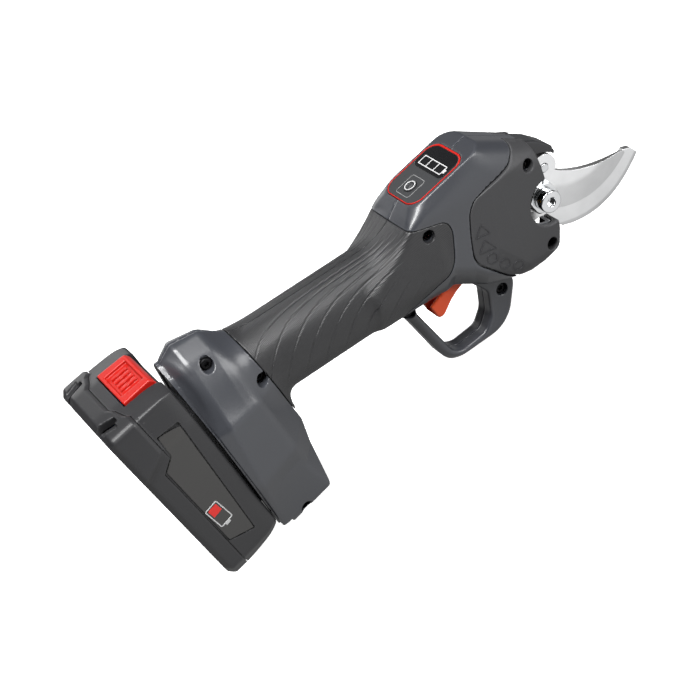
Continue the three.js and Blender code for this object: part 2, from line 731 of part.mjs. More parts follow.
function counterBlade() {
  const shape = new THREE.Shape();
  shape.moveTo(240, 25);
  shape.lineTo(254, 25);
  shape.quadraticCurveTo(258, 34, 266, 33.5);
  shape.quadraticCurveTo(273, 30, 274.5, 22);
  shape.bezierCurveTo(280, 4, 305, -6, 326, 12.5);
  shape.lineTo(330.5, 11);
  shape.lineTo(334.5, 5);
  shape.bezierCurveTo(318, -11, 298, -18, 276, -9);
  shape.lineTo(264, 5);
  shape.lineTo(240, 5);
  const blade = plate(shape, 0.15, BLADE_THICKNESS + 0.15, 8);
  const hole = crossBar(BOLT_RADIUS + GAP, -FAR, FAR, PIVOT, 20);
  return node('counter_blade', cut(blade, hole), BLADE_STEEL);
}

const WASHER = [-6, -4.6];
const NUT = [-13.4, -6.3];
const BOLT_HEAD = [-20, -13.7];
const LOCK_NUT = [8.9, 14];

function pivotParts() {
  const bore = crossBar(BOLT_RADIUS + GAP, -FAR, FAR, PIVOT, 18);
  const head = crossBar(6.5, ...BOLT_HEAD, PIVOT, 24);
  const shank = crossBar(BOLT_RADIUS, BOLT_HEAD[1] - 1, 16.5, PIVOT, 18);
  const socket = crossBar(2.3, BOLT_HEAD[0] - 1, BOLT_HEAD[0] + 2.5, PIVOT, 6);
  return [
    node('pivot_washer', cut(crossBar(9.6, ...WASHER, PIVOT, 24), bore), CHROME),
    node('pivot_nut', cut(crossBar(9.2, ...NUT, PIVOT, 6), bore), CHROME),
    node('pivot_bolt', cut(joined(head, shank), socket), CHROME),
    node('pivot_lock_nut', cut(crossBar(8.6, ...LOCK_NUT, PIVOT, 6), bore), CHROME),
  ];
}

// ---- electrics in the handle --------------------------------------------------------------

function mainBoard() {
  const sheet = block([86, 113], [-0.8, 0.8], [18, 44]);
  const parts = [
    block([90, 97], [0.5, 4], [22, 29]), block([101, 108], [0.5, 5], [31, 39]),
    block([90, 95], [-6, -0.5], [32, 42]), block([99, 109], [-3, -0.5], [21, 27]),
  ];
  return node('main_board', joined(sheet, ...parts), BOARD);
}

function wire(name, points, look) {
  const path = new THREE.CatmullRomCurve3(points.map((point) => new THREE.Vector3(...point)));
  return node(name, tube(path, 0.9, 10), look);
}

function wires() {
  const leads = [-5, 0, 5].map((y, copy) => wire(
    `motor_lead_${copy + 1}`,
    [[113.4, y * 0.4, 44 - copy], [115, y, 42.5], [117.2, y, 40]], RUBBER_BLACK,
  ));
  return [
    wire('battery_wire_positive', [[50, -7, 10], [62, -8, 20], [85.5, -4, 24]], RUBBER_RED),
    wire('battery_wire_negative', [[50, 7, 10], [62, 8, 20], [85.5, 4, 24]], RUBBER_BLACK),
    ...leads,
  ];
}

// ---- battery seat and battery -------------------------------------------------------------

const SEAT_STEM = 16;
const SEAT_FLANGE = 20;
const SEAT_RANGE = [-46, 26];

function seatSection(spread, top) {
  const stem = block([-5 - spread, top], [-SEAT_STEM - spread, SEAT_STEM + spread], [0, 1]);
  const flange = block([-8.5 - spread, -5 + spread], [-SEAT_FLANGE - spread, SEAT_FLANGE + spread], [0, 1]);
  return joined(stem, flange);
}

function terminalBlock() {
  const rail = seatSection(0, 6).scale([1, 1, SEAT_RANGE[1] - SEAT_RANGE[0]])
    .translate([0, 0, SEAT_RANGE[0]]);
  const piece = node('terminal_block', rail, NYLON);
  piece.position.x = SEAT_HEIGHT;
  piece.rotation.y = SEAT_TILT;
  return piece;
}

// Half plans of the battery, front centre to rear centre, bottom to top.
const BATTERY_PLANS = [
  [0, [[0, -56.5], [26.5, -56.5], [33, -48.5], [34, 36], [30.5, 53.5], [0, 55.5]]],
  [3, [[0, -59], [28, -59], [35.5, -49.5], [36.3, 36], [32, 56], [0, 58.5]]],
  [12, [[0, -60.5], [28, -60.5], [36.5, -49], [37.5, 36], [32.5, 58.5], [0, 61]]],
  [18, [[0, -58.5], [28, -58.5], [36, -48], [37.5, 36], [32, 59], [0, 61.5]]],
];
const BATTERY_TOP = [[0, -53], [26, -53], [33, -44], [35, 34], [28.5, 56.5], [0, 58]];
const BATTERY_TOP_HEIGHT = 39.2;
const BATTERY_TOP_SLOPE = 2.3 * DEGREE;
const BATTERY_WALL = 2;

function batteryTopHeight(z) {
  return BATTERY_TOP_HEIGHT + z * Math.tan(BATTERY_TOP_SLOPE);
}

function batteryLoft(inset) {
  const rings = BATTERY_PLANS.map(([height, plan], level) => {
    const x = height + (level === 0 ? inset : 0);
    return bothSides(shrunk(plan, inset)).map(([y, z]) => new THREE.Vector3(x, y, z));
  });
  rings.push(bothSides(shrunk(BATTERY_TOP, inset)).map(
    ([y, z]) => new THREE.Vector3(batteryTopHeight(z) - inset, y, z),
  ));
  return toSolid(loft(rings));
}

const SEAM = [[12, -80], [12, 27], [18, 31], [18, 80]];

function aboveSeam(lift) {
  const points = SEAM.map(([x, z]) => [x + lift, z]);
  return plate(polygon([...points, [80, 80], [80, -80]]), -FAR, FAR);
}

const BUTTON_RANGE = { x: [20, 39.5], y: [-17.5, 17.5], z: [50, 61.2] };

function seatChannel() {
  const length = SEAT_RANGE[1] - SEAT_RANGE[0] + 40;
  const channel = seatSection(0.6, 10).scale([1, 1, length])
    .translate([0, 0, SEAT_RANGE[0] - 38.5]);
  const geometry = toGeometry(channel);
  return toSolid(geometry.rotateY(SEAT_TILT).translate(SEAT_HEIGHT, 0, 0));
}

function batteryCases() {
  const shell = cut(batteryLoft(0), batteryLoft(BATTERY_WALL));
  const lining = seatLining().intersect(batteryLoft(1));
  const { x, y, z } = BUTTON_RANGE;
  const buttonWell = block([x[0] - 0.6, x[1] + 30], [y[0] - 0.6, y[1] + 0.6], [z[0] - 4, z[1] + 20]);
  const upper = cut(joined(shell, lining).intersect(aboveSeam(GAP)), seatChannel(), buttonWell);
  const lower = cut(shell, aboveSeam(0));
  return [
    node('battery_upper_case', upper, CASE),
    node('battery_lower_case', lower, CASE),
  ];
}

// A tray under the seat channel closes the battery's top around the rails.
function seatLining() {
  const tray = block([-11, 0], [-SEAT_FLANGE - 3, SEAT_FLANGE + 3], [-70, SEAT_RANGE[1] + 3]);
  const geometry = toGeometry(tray);
  return toSolid(geometry.rotateY(SEAT_TILT).translate(SEAT_HEIGHT, 0, 0));
}

function batteryCells() {
  const pitch = 2 * CELL_RADIUS + GAP;
  return Array.from({ length: BATTERY_CELLS }, (_, cell) => {
    const z = (cell - (BATTERY_CELLS - 1) / 2) * pitch - 3.4;
    const can = crossBar(CELL_RADIUS, -CELL_LENGTH / 2, CELL_LENGTH / 2, [14, z], 16);
    return node(`battery_cell_${cell + 1}`, can, CELL_WRAP);
  });
}

function contactBlock() {
  const base = block([23.7, 25.8], [-12, 12], [-42, 12]);
  const fins = [-9, -3, 3, 9].map((y) => block([25, 26.6], [y - 0.8, y + 0.8], [-40, -22]));
  return node('battery_contact_block', joined(base, ...fins), NYLON);
}

function releaseButton() {
  const { x, y, z } = BUTTON_RANGE;
  const face = plate(polygon([
    [x[0], z[0]], [x[0], z[1]], [x[1] - 1.5, z[1] - 3.2], [x[1], z[0] + 2], [x[1], z[0]],
  ]), ...y);
  return node('release_button', face, RED);
}

function releaseSpring() {
  const coil = coilSpring(3, 0.5, 4.6, 3).translate([29, 0, 45]);
  return node('release_spring', coil, CHROME);
}

function batteryLabel(side) {
  const outline = [[12.8, 24], [19.5, 44], [32, 41], [25.5, -38], [12.8, -33]];
  const sheet = plate(polygon(outline), 37.7, 38.1);
  const flat = side < 0 ? sheet.translate([0, -2 * 37.9, 0]) : sheet;
  return node(side < 0 ? 'right_label_plate' : 'left_label_plate', flat, PANEL);
}

// ---- assembly -----------------------------------------------------------------------------

function handle() {
  const group = new THREE.Group();
  group.rotation.y = GRIP_LEAN;
  const housing = housingSolid();
  group.add(
    node('right_housing', half(housing, -1), SHELL),
    node('left_housing', half(housing, 1), SHELL),
    ...gripPanels(),
    ...gearCovers(),
    noseCap(),
    displayPieces(),
    node('trigger', triggerSolid(), ORANGE),
    node('trigger_pin', crossBar(TRIGGER_PIN_RADIUS, -9, 9, TRIGGER_HINGE, 12), GEAR_STEEL),
    node('trigger_switch', block([190, 201], [-5, 5], [20, 26]).translate([0, 0, -6]), NYLON),
    onDriveAxis(
      motorCase(), rotor(), ringGear(), planetCarrier(),
      ...planetPlaces().map((turn, copy) => planet(copy, turn)),
      screwBearing(), driveScrew(), screwNut(),
    ),
    linkPin(),
    driveLink(),
    cuttingBlade(),
    counterBlade(),
    bladePin(),
    ...pivotParts(),
    mainBoard(),
    ...wires(),
    ...SCREWS.map((place) => screw(...place)),
  );
  return group;
}

function battery() {
  const group = new THREE.Group();
  group.add(
    ...batteryCases(),
    ...batteryCells(),
    contactBlock(),
    releaseButton(),
    releaseSpring(),
    batteryLabel(-1),
    batteryLabel(1),
  );
  return group;
}

const pruner = new THREE.Group();
pruner.add(handle(), terminalBlock(), battery());

export default pruner;
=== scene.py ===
"""Battery electric pruner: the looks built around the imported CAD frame.

Shapes are written as signed fields (negative inside, millimetres) and turned into meshes by dual
contouring, which keeps chamfers and creases crisp. Fields are written in one of four frames: the
part frame, the handle frame (u along the grip, y to the left, n towards the display), the seat
frame (h above the battery's sliding plane, y, s towards the rear of the tool) and the screen frame
(the part frame moved to the middle of the display).
"""
import json
import math

import bpy
import numpy as np
from mathutils import Matrix, Vector


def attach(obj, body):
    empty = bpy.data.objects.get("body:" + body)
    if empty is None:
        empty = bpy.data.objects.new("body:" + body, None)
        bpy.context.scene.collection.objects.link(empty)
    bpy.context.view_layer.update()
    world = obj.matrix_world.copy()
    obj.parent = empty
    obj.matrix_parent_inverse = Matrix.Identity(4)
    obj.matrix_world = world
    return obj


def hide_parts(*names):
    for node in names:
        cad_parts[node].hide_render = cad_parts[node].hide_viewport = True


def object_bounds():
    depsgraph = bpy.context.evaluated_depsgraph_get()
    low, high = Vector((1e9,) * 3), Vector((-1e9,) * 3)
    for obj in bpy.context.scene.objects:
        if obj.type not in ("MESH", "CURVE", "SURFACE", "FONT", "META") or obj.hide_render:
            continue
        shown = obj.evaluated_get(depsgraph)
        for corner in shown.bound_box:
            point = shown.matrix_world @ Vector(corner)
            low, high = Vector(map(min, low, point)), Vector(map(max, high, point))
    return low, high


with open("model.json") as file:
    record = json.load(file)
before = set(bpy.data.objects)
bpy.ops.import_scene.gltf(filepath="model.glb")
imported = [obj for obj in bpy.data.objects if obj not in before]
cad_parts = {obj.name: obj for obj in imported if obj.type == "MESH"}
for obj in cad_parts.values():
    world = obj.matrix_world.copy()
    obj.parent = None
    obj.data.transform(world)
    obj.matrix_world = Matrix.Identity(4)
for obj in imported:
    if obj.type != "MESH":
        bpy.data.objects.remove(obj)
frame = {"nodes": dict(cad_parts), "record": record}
cad_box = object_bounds()

# ---- driving dimensions -------------------------------------

MM = 0.001
COARSE = 1.0
LEAN = math.radians(12)
SEAT_TILT = math.radians(4.2)
SEAT_HEIGHT = 42.1
DISPLAY = (217.78, 26.07)
DISPLAY_HALF = (19.4, 15.5)
PIVOT = (263.5, 23.7)
EAR = (273.4, 34.5)
HALF_WIDTH = 21.3
GRIP_HEIGHT = 30.0
GRIP_HALF = (19, 22.3)
GRIP_FLARE = (3.5, 4)
GRIP_SQUARENESS = 2.35
PANEL_DEPTH = 2.2
GUARD_HALF = 7.5
PANEL_REAR_X = 84.0
SHELL_WALL = 5
HOLLOW_MIDDLE = 154
HOLLOW_HALF = 112
TRIGGER_PIN = (208, 8)

HANDLE = Matrix.Rotation(LEAN, 4, "Y")
PART = Matrix.Identity(4)
SCREEN = Matrix.Translation((DISPLAY[0], 0, DISPLAY[1]))

# ---- field arithmetic ---------------------------------------


def smooth_max(a, b, radius):
    overlap = np.maximum(radius - np.abs(a - b), 0) / radius
    return np.maximum(a, b) + overlap * overlap * radius / 4


def smooth_min(a, b, radius):
    return -smooth_max(-a, -b, radius)


def rounded(radius, first, *others):
    for other in others:
        first = smooth_max(first, other, radius)
    return first


def turned(x, z, angle):
    """Coordinates in a frame turned about y by the angle."""
    return x * math.cos(angle) - z * math.sin(angle), x * math.sin(angle) + z * math.cos(angle)


def handle_to_part(u, n):
    return u * math.cos(LEAN) + n * math.sin(LEAN), -u * math.sin(LEAN) + n * math.cos(LEAN)


def part_to_seat(x, z):
    return turned(x - SEAT_HEIGHT, z, SEAT_TILT)


def filleted(points, radius, steps=4):
    """The outline with each corner replaced by a short curve."""
    corners = np.array(points, float)
    result = []
    for before, corner, after in zip(np.roll(corners, 1, 0), corners, np.roll(corners, -1, 0)):
        reach_in = min(radius, np.linalg.norm(before - corner) * 0.45)
        reach_out = min(radius, np.linalg.norm(after - corner) * 0.45)
        start = corner + (before - corner) / np.linalg.norm(before - corner) * reach_in
        end = corner + (after - corner) / np.linalg.norm(after - corner) * reach_out
        for t in np.linspace(0, 1, steps + 1):
            result.append((1 - t) ** 2 * start + 2 * t * (1 - t) * corner + t * t * end)
    return np.array(result)


class Outline:
    """Signed distance to a closed outline, kept in a table and read by interpolation."""

    def __init__(self, points, radius=0.0, cell=0.35, margin=14.0):
        corners = filleted(points, radius) if radius else np.array(points, float)
        self.low = corners.min(0) - margin
        self.cell = cell
        counts = np.ceil((corners.max(0) + margin - self.low) / cell).astype(int) + 1
        self.limit = counts - 1.001
        x, z = np.meshgrid(*[self.low[a] + cell * np.arange(counts[a]) for a in (0, 1)], indexing="ij")
        nearest = np.full(x.shape, 1e9)
        inside = np.zeros(x.shape, bool)
        for start, end in zip(corners, np.roll(corners, -1, 0)):
            dx, dz = end - start
            px, pz = x - start[0], z - start[1]
            t = np.clip((px * dx + pz * dz) / (dx * dx + dz * dz + 1e-12), 0, 1)
            nearest = np.minimum(nearest, (px - t * dx) ** 2 + (pz - t * dz) ** 2)
            if abs(dz) > 1e-9:
                inside ^= ((start[1] > z) != (end[1] > z)) & (px < dx * pz / dz)
        self.table = np.where(inside, -1, 1) * np.sqrt(nearest)

    def __call__(self, x, z):
        gx = np.clip((x - self.low[0]) / self.cell, 0, self.limit[0])
        gz = np.clip((z - self.low[1]) / self.cell, 0, self.limit[1])
        i, k = gx.astype(int), gz.astype(int)
        fx, fz = gx - i, gz - k
        t = self.table
        low = t[i, k] * (1 - fx) + t[i + 1, k] * fx
        high = t[i, k + 1] * (1 - fx) + t[i + 1, k + 1] * fx
        return low * (1 - fz) + high * fz


def distance(centre, u, n):
    return np.hypot(u - centre[0], n - centre[1])


def rounded_box(x, z, half_x, half_z, radius):
    dx, dz = np.abs(x) - half_x + radius, np.abs(z) - half_z + radius
    outside = np.hypot(np.maximum(dx, 0), np.maximum(dz, 0))
    return outside + np.minimum(np.maximum(dx, dz), 0) - radius


# ---- dual contouring ----------------------------------------

TETRA = ((1, -1, -1), (-1, -1, 1), (-1, 1, -1), (1, 1, 1))


def slope(field, points, reach):
    total = np.zeros_like(points)
    for corner in TETRA:
        moved = points + reach * np.array(corner)
        total += field(*moved.T)[:, None] * np.array(corner)
    return total / (np.linalg.norm(total, axis=1, keepdims=True) + 1e-12)


def sampled(field, axes, step):
    """Field values on the grid, exact near the surface and rough elsewhere."""
    rough_axes = [axis[::4] for axis in axes]
    rough_grid = np.meshgrid(*rough_axes, indexing="ij")
    rough = field(*[g.ravel() for g in rough_grid]).reshape(rough_grid[0].shape)
    size = [len(axis) for axis in axes]

    def spread(block):
        for a in range(3):
            block = np.repeat(block, 4, axis=a)
        return block[:size[0], :size[1], :size[2]].copy()

    values = spread(rough.astype(np.float32))
    near = np.nonzero(spread(np.abs(rough) < 8.5 * step))
    values[near] = field(*[axes[a][near[a]] for a in range(3)])
    return values


def crossings(field, values, axes, step, direction):
    """Points where the surface crosses the grid edges that run along one direction."""
    ahead = np.moveaxis(values, direction, 0)
    inside = ahead < 0
    found = np.nonzero(inside[:-1] != inside[1:])
    near, far = ahead[:-1][found], ahead[1:][found]
    order = [direction] + [a for a in range(3) if a != direction]
    index = np.empty((len(near), 3), int)
    for slot, axis in enumerate(order):
        index[:, axis] = found[slot]
    t = (near / (near - far)).astype(float)
    points = np.stack([axes[a][index[:, a]] for a in range(3)], 1).astype(float)
    start = points[:, direction].copy()
    points[:, direction] = start + t * step
    middle = field(*points.T)
    same = (middle < 0) == (near < 0)
    t_other = np.where(same, 1.0, 0.0)
    value_other = np.where(same, far, near)
    t = t + (t_other - t) * np.clip(middle / (middle - value_other + 1e-12), 0, 1)
    points[:, direction] = start + t * step
    return index, points, near < 0


def contour(field, low, high, step):
    """Vertices and quads of the field's zero surface inside a box."""
    cells = 4 * np.ceil((np.array(high) - low) / (4 * step)).astype(int)
    axes = [low[a] + step * np.arange(cells[a] + 1) for a in range(3)]
    values = sampled(field, axes, step)
    shape = np.array([len(axis) for axis in axes])
    all_cells, all_points, all_normals, quads = [], [], [], []
    for direction in range(3):
        index, points, leaving = crossings(field, values, axes, step, direction)
        inner = np.all((index > 0) & (index < shape - 1), axis=1)
        index, points, leaving = index[inner], points[inner], leaving[inner]
        normals = slope(field, points, 0.04 * step)
        b, c = (direction + 1) % 3, (direction + 2) % 3
        corners = []
        for shift_b, shift_c in ((0, 0), (1, 0), (1, 1), (0, 1)):
            cell = index.copy()
            cell[:, b] -= shift_b
            cell[:, c] -= shift_c
            corners.append(np.ravel_multi_index(cell.T, shape))
        ring = np.stack(corners, 1)
        ring[~leaving] = ring[~leaving][:, ::-1]
        quads.append(ring)
        for corner in range(4):
            all_cells.append(ring[:, corner])
            all_points.append(points)
            all_normals.append(normals)
    cell_ids, place = np.unique(np.concatenate(all_cells), return_inverse=True)
    points, normals = np.concatenate(all_points), np.concatenate(all_normals)
    count = np.bincount(place).astype(float)

    def summed(weights):
        return np.bincount(place, weights=weights, minlength=len(cell_ids))

    middle = np.stack([summed(points[:, a]) / count for a in range(3)], 1)
    offset = np.einsum("ij,ij->i", normals, points - middle[place])
    matrix = np.zeros((len(cell_ids), 3, 3))
    target = np.zeros((len(cell_ids), 3))
    for a in range(3):
        target[:, a] = summed(normals[:, a] * offset)
        for b in range(a, 3):
            matrix[:, a, b] = matrix[:, b, a] = summed(normals[:, a] * normals[:, b])
    matrix += np.eye(3) * (0.06 * count)[:, None, None]
    shift = np.linalg.solve(matrix, target[:, :, None])[:, :, 0]
    vertices = middle + np.clip(shift, -0.9 * step, 0.9 * step)
    faces = np.searchsorted(cell_ids, np.concatenate(quads))
    return vertices, faces


# ---- pieces -------------------------------------------------


def piece(name, vertices, faces, place, body, look, nodes, sharp):
    """A mesh in the part frame that rides on a body and stands for CAD nodes."""
    mesh = bpy.data.meshes.new(name)
    turn = np.array(place)
    world = (vertices @ turn[:3, :3].T + turn[:3, 3]) * MM
    faces = np.asarray(faces)
    sides = faces.shape[1]
    mesh.vertices.add(len(world))
    mesh.vertices.foreach_set("co", world.ravel())
    mesh.loops.add(faces.size)
    mesh.loops.foreach_set("vertex_index", faces.ravel())
    mesh.polygons.add(len(faces))
    mesh.polygons.foreach_set("loop_start", np.arange(0, faces.size, sides))
    mesh.update(calc_edges=True)
    mesh.validate()
    mesh.shade_smooth()
    mesh.set_sharp_from_angle(angle=math.radians(sharp))
    mesh.materials.append(look)
    thing = bpy.data.objects.new(name, mesh)
    bpy.context.collection.objects.link(thing)
    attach(thing, body)
    if nodes:
        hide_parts(*nodes)
    return thing


def carved(name, field, low, high, step, place, body, look, nodes, sharp=42):
    """The piece whose surface is the field's zero surface inside a box."""
    vertices, faces = contour(field, np.array(low, float), np.array(high, float), step * COARSE)
    return piece(name, vertices, faces, place, body, look, nodes, sharp)


# ---- materials ----------------------------------------------


class Nodes:
    """Shorthand for building the node tree of a material, or of the world."""

    def __init__(self, name, world=False):
        kinds = bpy.data.worlds if world else bpy.data.materials
        self.material = kinds.new(name)
        self.material.use_nodes = True
        self.tree = self.material.node_tree
        self.shader = self.tree.nodes["Background" if world else "Principled BSDF"]

    def add(self, kind, inputs=(), **settings):
        made = self.tree.nodes.new(kind)
        for key, value in settings.items():
            setattr(made, key, value)
        for key, value in dict(inputs).items():
            self.feed(made, key, value)
        return made

    def feed(self, target, key, value):
        if isinstance(value, bpy.types.NodeSocket):
            self.tree.links.new(value, target.inputs[key])
        else:
            target.inputs[key].default_value = value

    def noise(self, size_mm, detail=3.0, roughness=0.55, stretch=(1, 1, 1)):
        place = self.add("ShaderNodeTexCoord").outputs["Object"]
        scaled = self.add("ShaderNodeMapping", {"Vector": place, "Scale": stretch}).outputs[0]
        settings = {"Vector": scaled, "Scale": 1000 / size_mm, "Detail": detail, "Roughness": roughness}
        return self.add("ShaderNodeTexNoise", settings).outputs["Fac"]

    def spread(self, source, low, high, start=0.3, end=0.7):
        settings = {"Value": source, "From Min": start, "From Max": end, "To Min": low, "To Max": high}
        return self.add("ShaderNodeMapRange", settings).outputs[0]

    def maths(self, operation, first, second):
        return self.add("ShaderNodeMath", {0: first, 1: second}, operation=operation).outputs[0]

    def mix(self, factor, first, second):
        blend = self.add("ShaderNodeMix", data_type="RGBA")
        self.feed(blend, 0, factor)
        self.feed(blend, 6, first)
        self.feed(blend, 7, second)
        return blend.outputs[2]

    def bump(self, height, depth_mm, below=None):
        inputs = {"Height": height, "Distance": depth_mm * MM, "Strength": 1.0}
        if below is not None:
            inputs["Normal"] = below
        return self.add("ShaderNodeBump", inputs).outputs[0]


def shade(colour, factor):
    return tuple(min(1.0, c * factor) for c in colour) + (1.0,)


def plastic(name, colour, roughness, grain_mm, grain_depth, gloss=0.5, edge_wear_and_sheen=0.25, coat=0.0):
    """Moulded plastic: fine grain, slow tone changes and paler edges, partly wear and partly a painted edge
    highlight.
    """
    n = Nodes(name)
    slow = n.noise(34, 2)
    grain = n.noise(grain_mm, 2, 0.6)
    tone = n.mix(n.spread(slow, 0, 1, 0.2, 0.8), shade(colour, 0.94), shade(colour, 1.07))
    # Convex edges are painted up to 2.2 times lighter: partly wear, partly a painted highlight along the
    # rims.
    edge = n.add("ShaderNodeNewGeometry").outputs["Pointiness"]
    edge_wear_and_sheen_mask = n.spread(edge, 0, edge_wear_and_sheen, 0.505, 0.56)
    n.feed(n.shader, "Base Color", n.mix(edge_wear_and_sheen_mask, tone, shade(colour, 2.2)))
    n.feed(n.shader, "Roughness", n.spread(slow, roughness * 0.92, roughness * 1.08, 0.2, 0.8))
    n.feed(n.shader, "Specular IOR Level", gloss)
    n.feed(n.shader, "Coat Weight", coat)
    n.feed(n.shader, "Coat Roughness", 0.2)
    n.feed(n.shader, "Normal", n.bump(grain, grain_depth))
    return n.material


HAIR_PER_DEGREE = 3.2


def soft_touch(name, colour):
    """Rubber overmould: flowing hair lines that follow the moulded grooves."""
    n = Nodes(name)
    slow = n.noise(26, 2)
    flow = n.add("ShaderNodeAttribute", attribute_name="flow").outputs["Fac"]
    wave = n.maths("SINE", n.maths("MULTIPLY", flow, HAIR_PER_DEGREE), 0.0)
    streak = n.spread(wave, 0, 1, -1, 1)
    tone = n.mix(n.spread(slow, 0, 1), shade(colour, 0.88), shade(colour, 1.15))
    n.feed(n.shader, "Base Color", n.mix(streak, tone, shade(colour, 1.35)))
    n.feed(n.shader, "Roughness", n.spread(slow, 0.36, 0.44, 0.2, 0.8))
    n.feed(n.shader, "Specular IOR Level", 0.5)
    lines = n.bump(streak, 0.08)
    n.feed(n.shader, "Normal", n.bump(n.noise(0.35, 2), 0.02, below=lines))
    return n.material


def metal(name, colour, roughness, grain_mm, grain_depth, stretch=(1, 1, 1), stain=0.06):
    """Metal with directional machining marks and faint tone changes."""
    n = Nodes(name)
    slow = n.noise(18, 3)
    grain = n.noise(grain_mm, 3, 0.6, stretch)
    tone = n.mix(n.spread(slow, 0, 1), shade(colour, 1 - stain), shade(colour, 1 + stain))
    n.feed(n.shader, "Base Color", tone)
    n.feed(n.shader, "Metallic", 1.0)
    n.feed(n.shader, "Roughness", n.spread(grain, roughness * 0.8, roughness * 1.25))
    n.feed(n.shader, "Normal", n.bump(grain, grain_depth))
    return n.material


def board_look(name):
    """Green circuit board with copper-coloured specks."""
    n = Nodes(name)
    speck = n.noise(1.6, 0)
    tone = n.mix(n.spread(speck, 0, 1, 0.62, 0.66), (0.01, 0.1, 0.03, 1), (0.35, 0.3, 0.16, 1))
    n.feed(n.shader, "Base Color", tone)
    n.feed(n.shader, "Roughness", 0.42)
    n.feed(n.shader, "Normal", n.bump(speck, 0.1))
    return n.material


def print_look(name, colour, glow):
    """Printed and display marks with a faint emission, which is a painted glow."""
    n = Nodes(name)
    fleck = n.noise(0.5, 1)
    n.feed(n.shader, "Base Color", n.mix(n.spread(fleck, 0, 1), shade(colour, 0.9), shade(colour, 1.05)))
    n.feed(n.shader, "Roughness", 0.4)
    n.feed(n.shader, "Emission Color", shade(colour, 1))
    # The emission strength is a painted glow that brightens the marks.
    n.feed(n.shader, "Emission Strength", glow)
    return n.material


SHELL = plastic("gloss_shell", (0.032, 0.034, 0.04), 0.36, 0.9, 0.004, 0.5, 0.25, 0.3)
COVER = plastic("gear_cover", (0.035, 0.035, 0.037), 0.5, 0.45, 0.035, 0.4)
RUBBER = soft_touch("soft_grip", (0.015, 0.015, 0.016))
CASE = plastic("battery_case", (0.018, 0.018, 0.0195), 0.44, 0.4, 0.035, 0.42)
LABEL = plastic("label_sheet", (0.03, 0.029, 0.028), 0.36, 0.8, 0.008, 0.5, 0.05)
NYLON = plastic("black_nylon", (0.014, 0.014, 0.016), 0.4, 0.6, 0.02)
RED = plastic("red_plastic", (0.38, 0.009, 0.005), 0.36, 0.7, 0.008, 0.45, 0.1)
ORANGE = plastic("orange_plastic", (1.0, 0.11, 0.03), 0.42, 0.7, 0.008, 0.45, 0.1)
PANEL = plastic("dark_panel", (0.024, 0.025, 0.027), 0.5, 0.5, 0.01, 0.5, 0.1)
WINDOW = plastic("dark_window", (0.005, 0.005, 0.006), 0.25, 2.0, 0.002, 0.6, 0.0)
CHROME = metal("chrome", (0.6, 0.61, 0.62), 0.14, 1.2, 0.002)
BLADE = metal("blade_steel", (0.78, 0.785, 0.79), 0.36, 0.5, 0.006, (0.15, 1, 1))
STEEL = metal("gear_steel", (0.42, 0.42, 0.43), 0.36, 0.6, 0.01, (0.2, 1, 1))
# Black steel, darker than the metal itself so that the screw heads stand for the shade deep in their holes:
# partly its own colour, partly painted shade.
BLACK_STEEL_WITH_HOLE_SHADE = metal("black_steel", (0.014, 0.014, 0.015), 0.45, 0.5, 0.01)
BRASS = metal("brass", (0.6, 0.42, 0.16), 0.3, 0.5, 0.008)
BOARD = board_look("circuit_board")
WRAP = plastic("cell_wrap", (0.03, 0.12, 0.32), 0.36, 1.5, 0.01, 0.5, 0.1)
RED_WIRE = plastic("red_wire", (0.45, 0.015, 0.015), 0.45, 0.6, 0.01)
BLACK_WIRE = plastic("black_wire", (0.012, 0.012, 0.013), 0.45, 0.6, 0.01)
# The last number of each mark is its painted glow.
MARK = print_look("printed_mark", (0.5, 0.5, 0.5), 0.08)
FAINT_MARK = print_look("faint_mark", (0.22, 0.22, 0.22), 0.02)
MARK_RED = print_look("printed_red", (0.6, 0.02, 0.015), 0.1)

SLOT_LOOKS = {
    "gloss_shell": SHELL, "soft_grip": RUBBER, "gear_cover": COVER, "black_nylon": NYLON,
    "red_plastic": RED, "orange_plastic": ORANGE, "dark_panel": PANEL, "circuit_board": BOARD,
    "gear_steel": STEEL, "black_steel": BLACK_STEEL_WITH_HOLE_SHADE, "chrome": CHROME, "brass": BRASS,
    "blade_steel": BLADE, "battery_case": CASE, "cell_wrap": WRAP, "red_wire": RED_WIRE,
    "black_wire": BLACK_WIRE,
}


def dress_frame():
    """Every CAD node takes the procedural finish of its slot."""
    for entry in frame["record"]["subparts"]:
        mesh = frame["nodes"][entry["node"]].data
        mesh.materials.clear()
        mesh.materials.append(SLOT_LOOKS[entry["material_slot"]])


# ---- handle fields ------------------------------------------

# Side view of the head in the handle frame, centre line.
HEAD_SIDE = Outline([
    (150, 51.5), (168, 53), (176, 56.5), (181, 61), (190, 90), (265.5, 90), (265.5, 9.5), (260, -4.5),
    (249, -7.5), (234, -8), (214, -3.5), (205, 2), (196, 8), (186, 10.5), (172, 11.5), (150, 12.5),
], radius=2)
HEAD_FLOOR = (
    [150, 172, 186, 196, 205, 214, 234, 258, 265.5], [12.5, 11.5, 10.5, 8, 2, -3.5, -8, -6.8, -4],
)
COVER_ZONE = Outline([
    (255.7, 70), (254.5, 64), (247, 59), (230.6, 56.2), (219.5, 53), (215.1, 47.4), (211.6, 35.4),
    (209, 22.7), (210, 16.5), (226, -2.8), (232, -6.3), (234, -30), (300, -30), (300, 90), (256, 90),
], radius=3)
COVER_FACET = Outline([
    (231, 55), (226.4, 33.3), (224.8, 18.5), (239, -1), (243, -30), (300, -30), (300, 90), (246, 90),
], radius=1)


COVER_PROUD = 1.3
COVER_SEAT = 2.7
COVER_GAP = 0.4
BORDER_WIDTH = 7
BORDER_SLOPE = 0.19


def cover_face(u, n, skin):
    """The cover stands proud of the skin, slopes down at its rear border and is flush on top."""
    border = np.clip(COVER_FACET(u, n), 0, BORDER_WIDTH)
    flush = np.clip((n - 56) / 6, 0, 1)
    return skin - COVER_PROUD + BORDER_SLOPE * border * (n < 58) + COVER_PROUD * flush


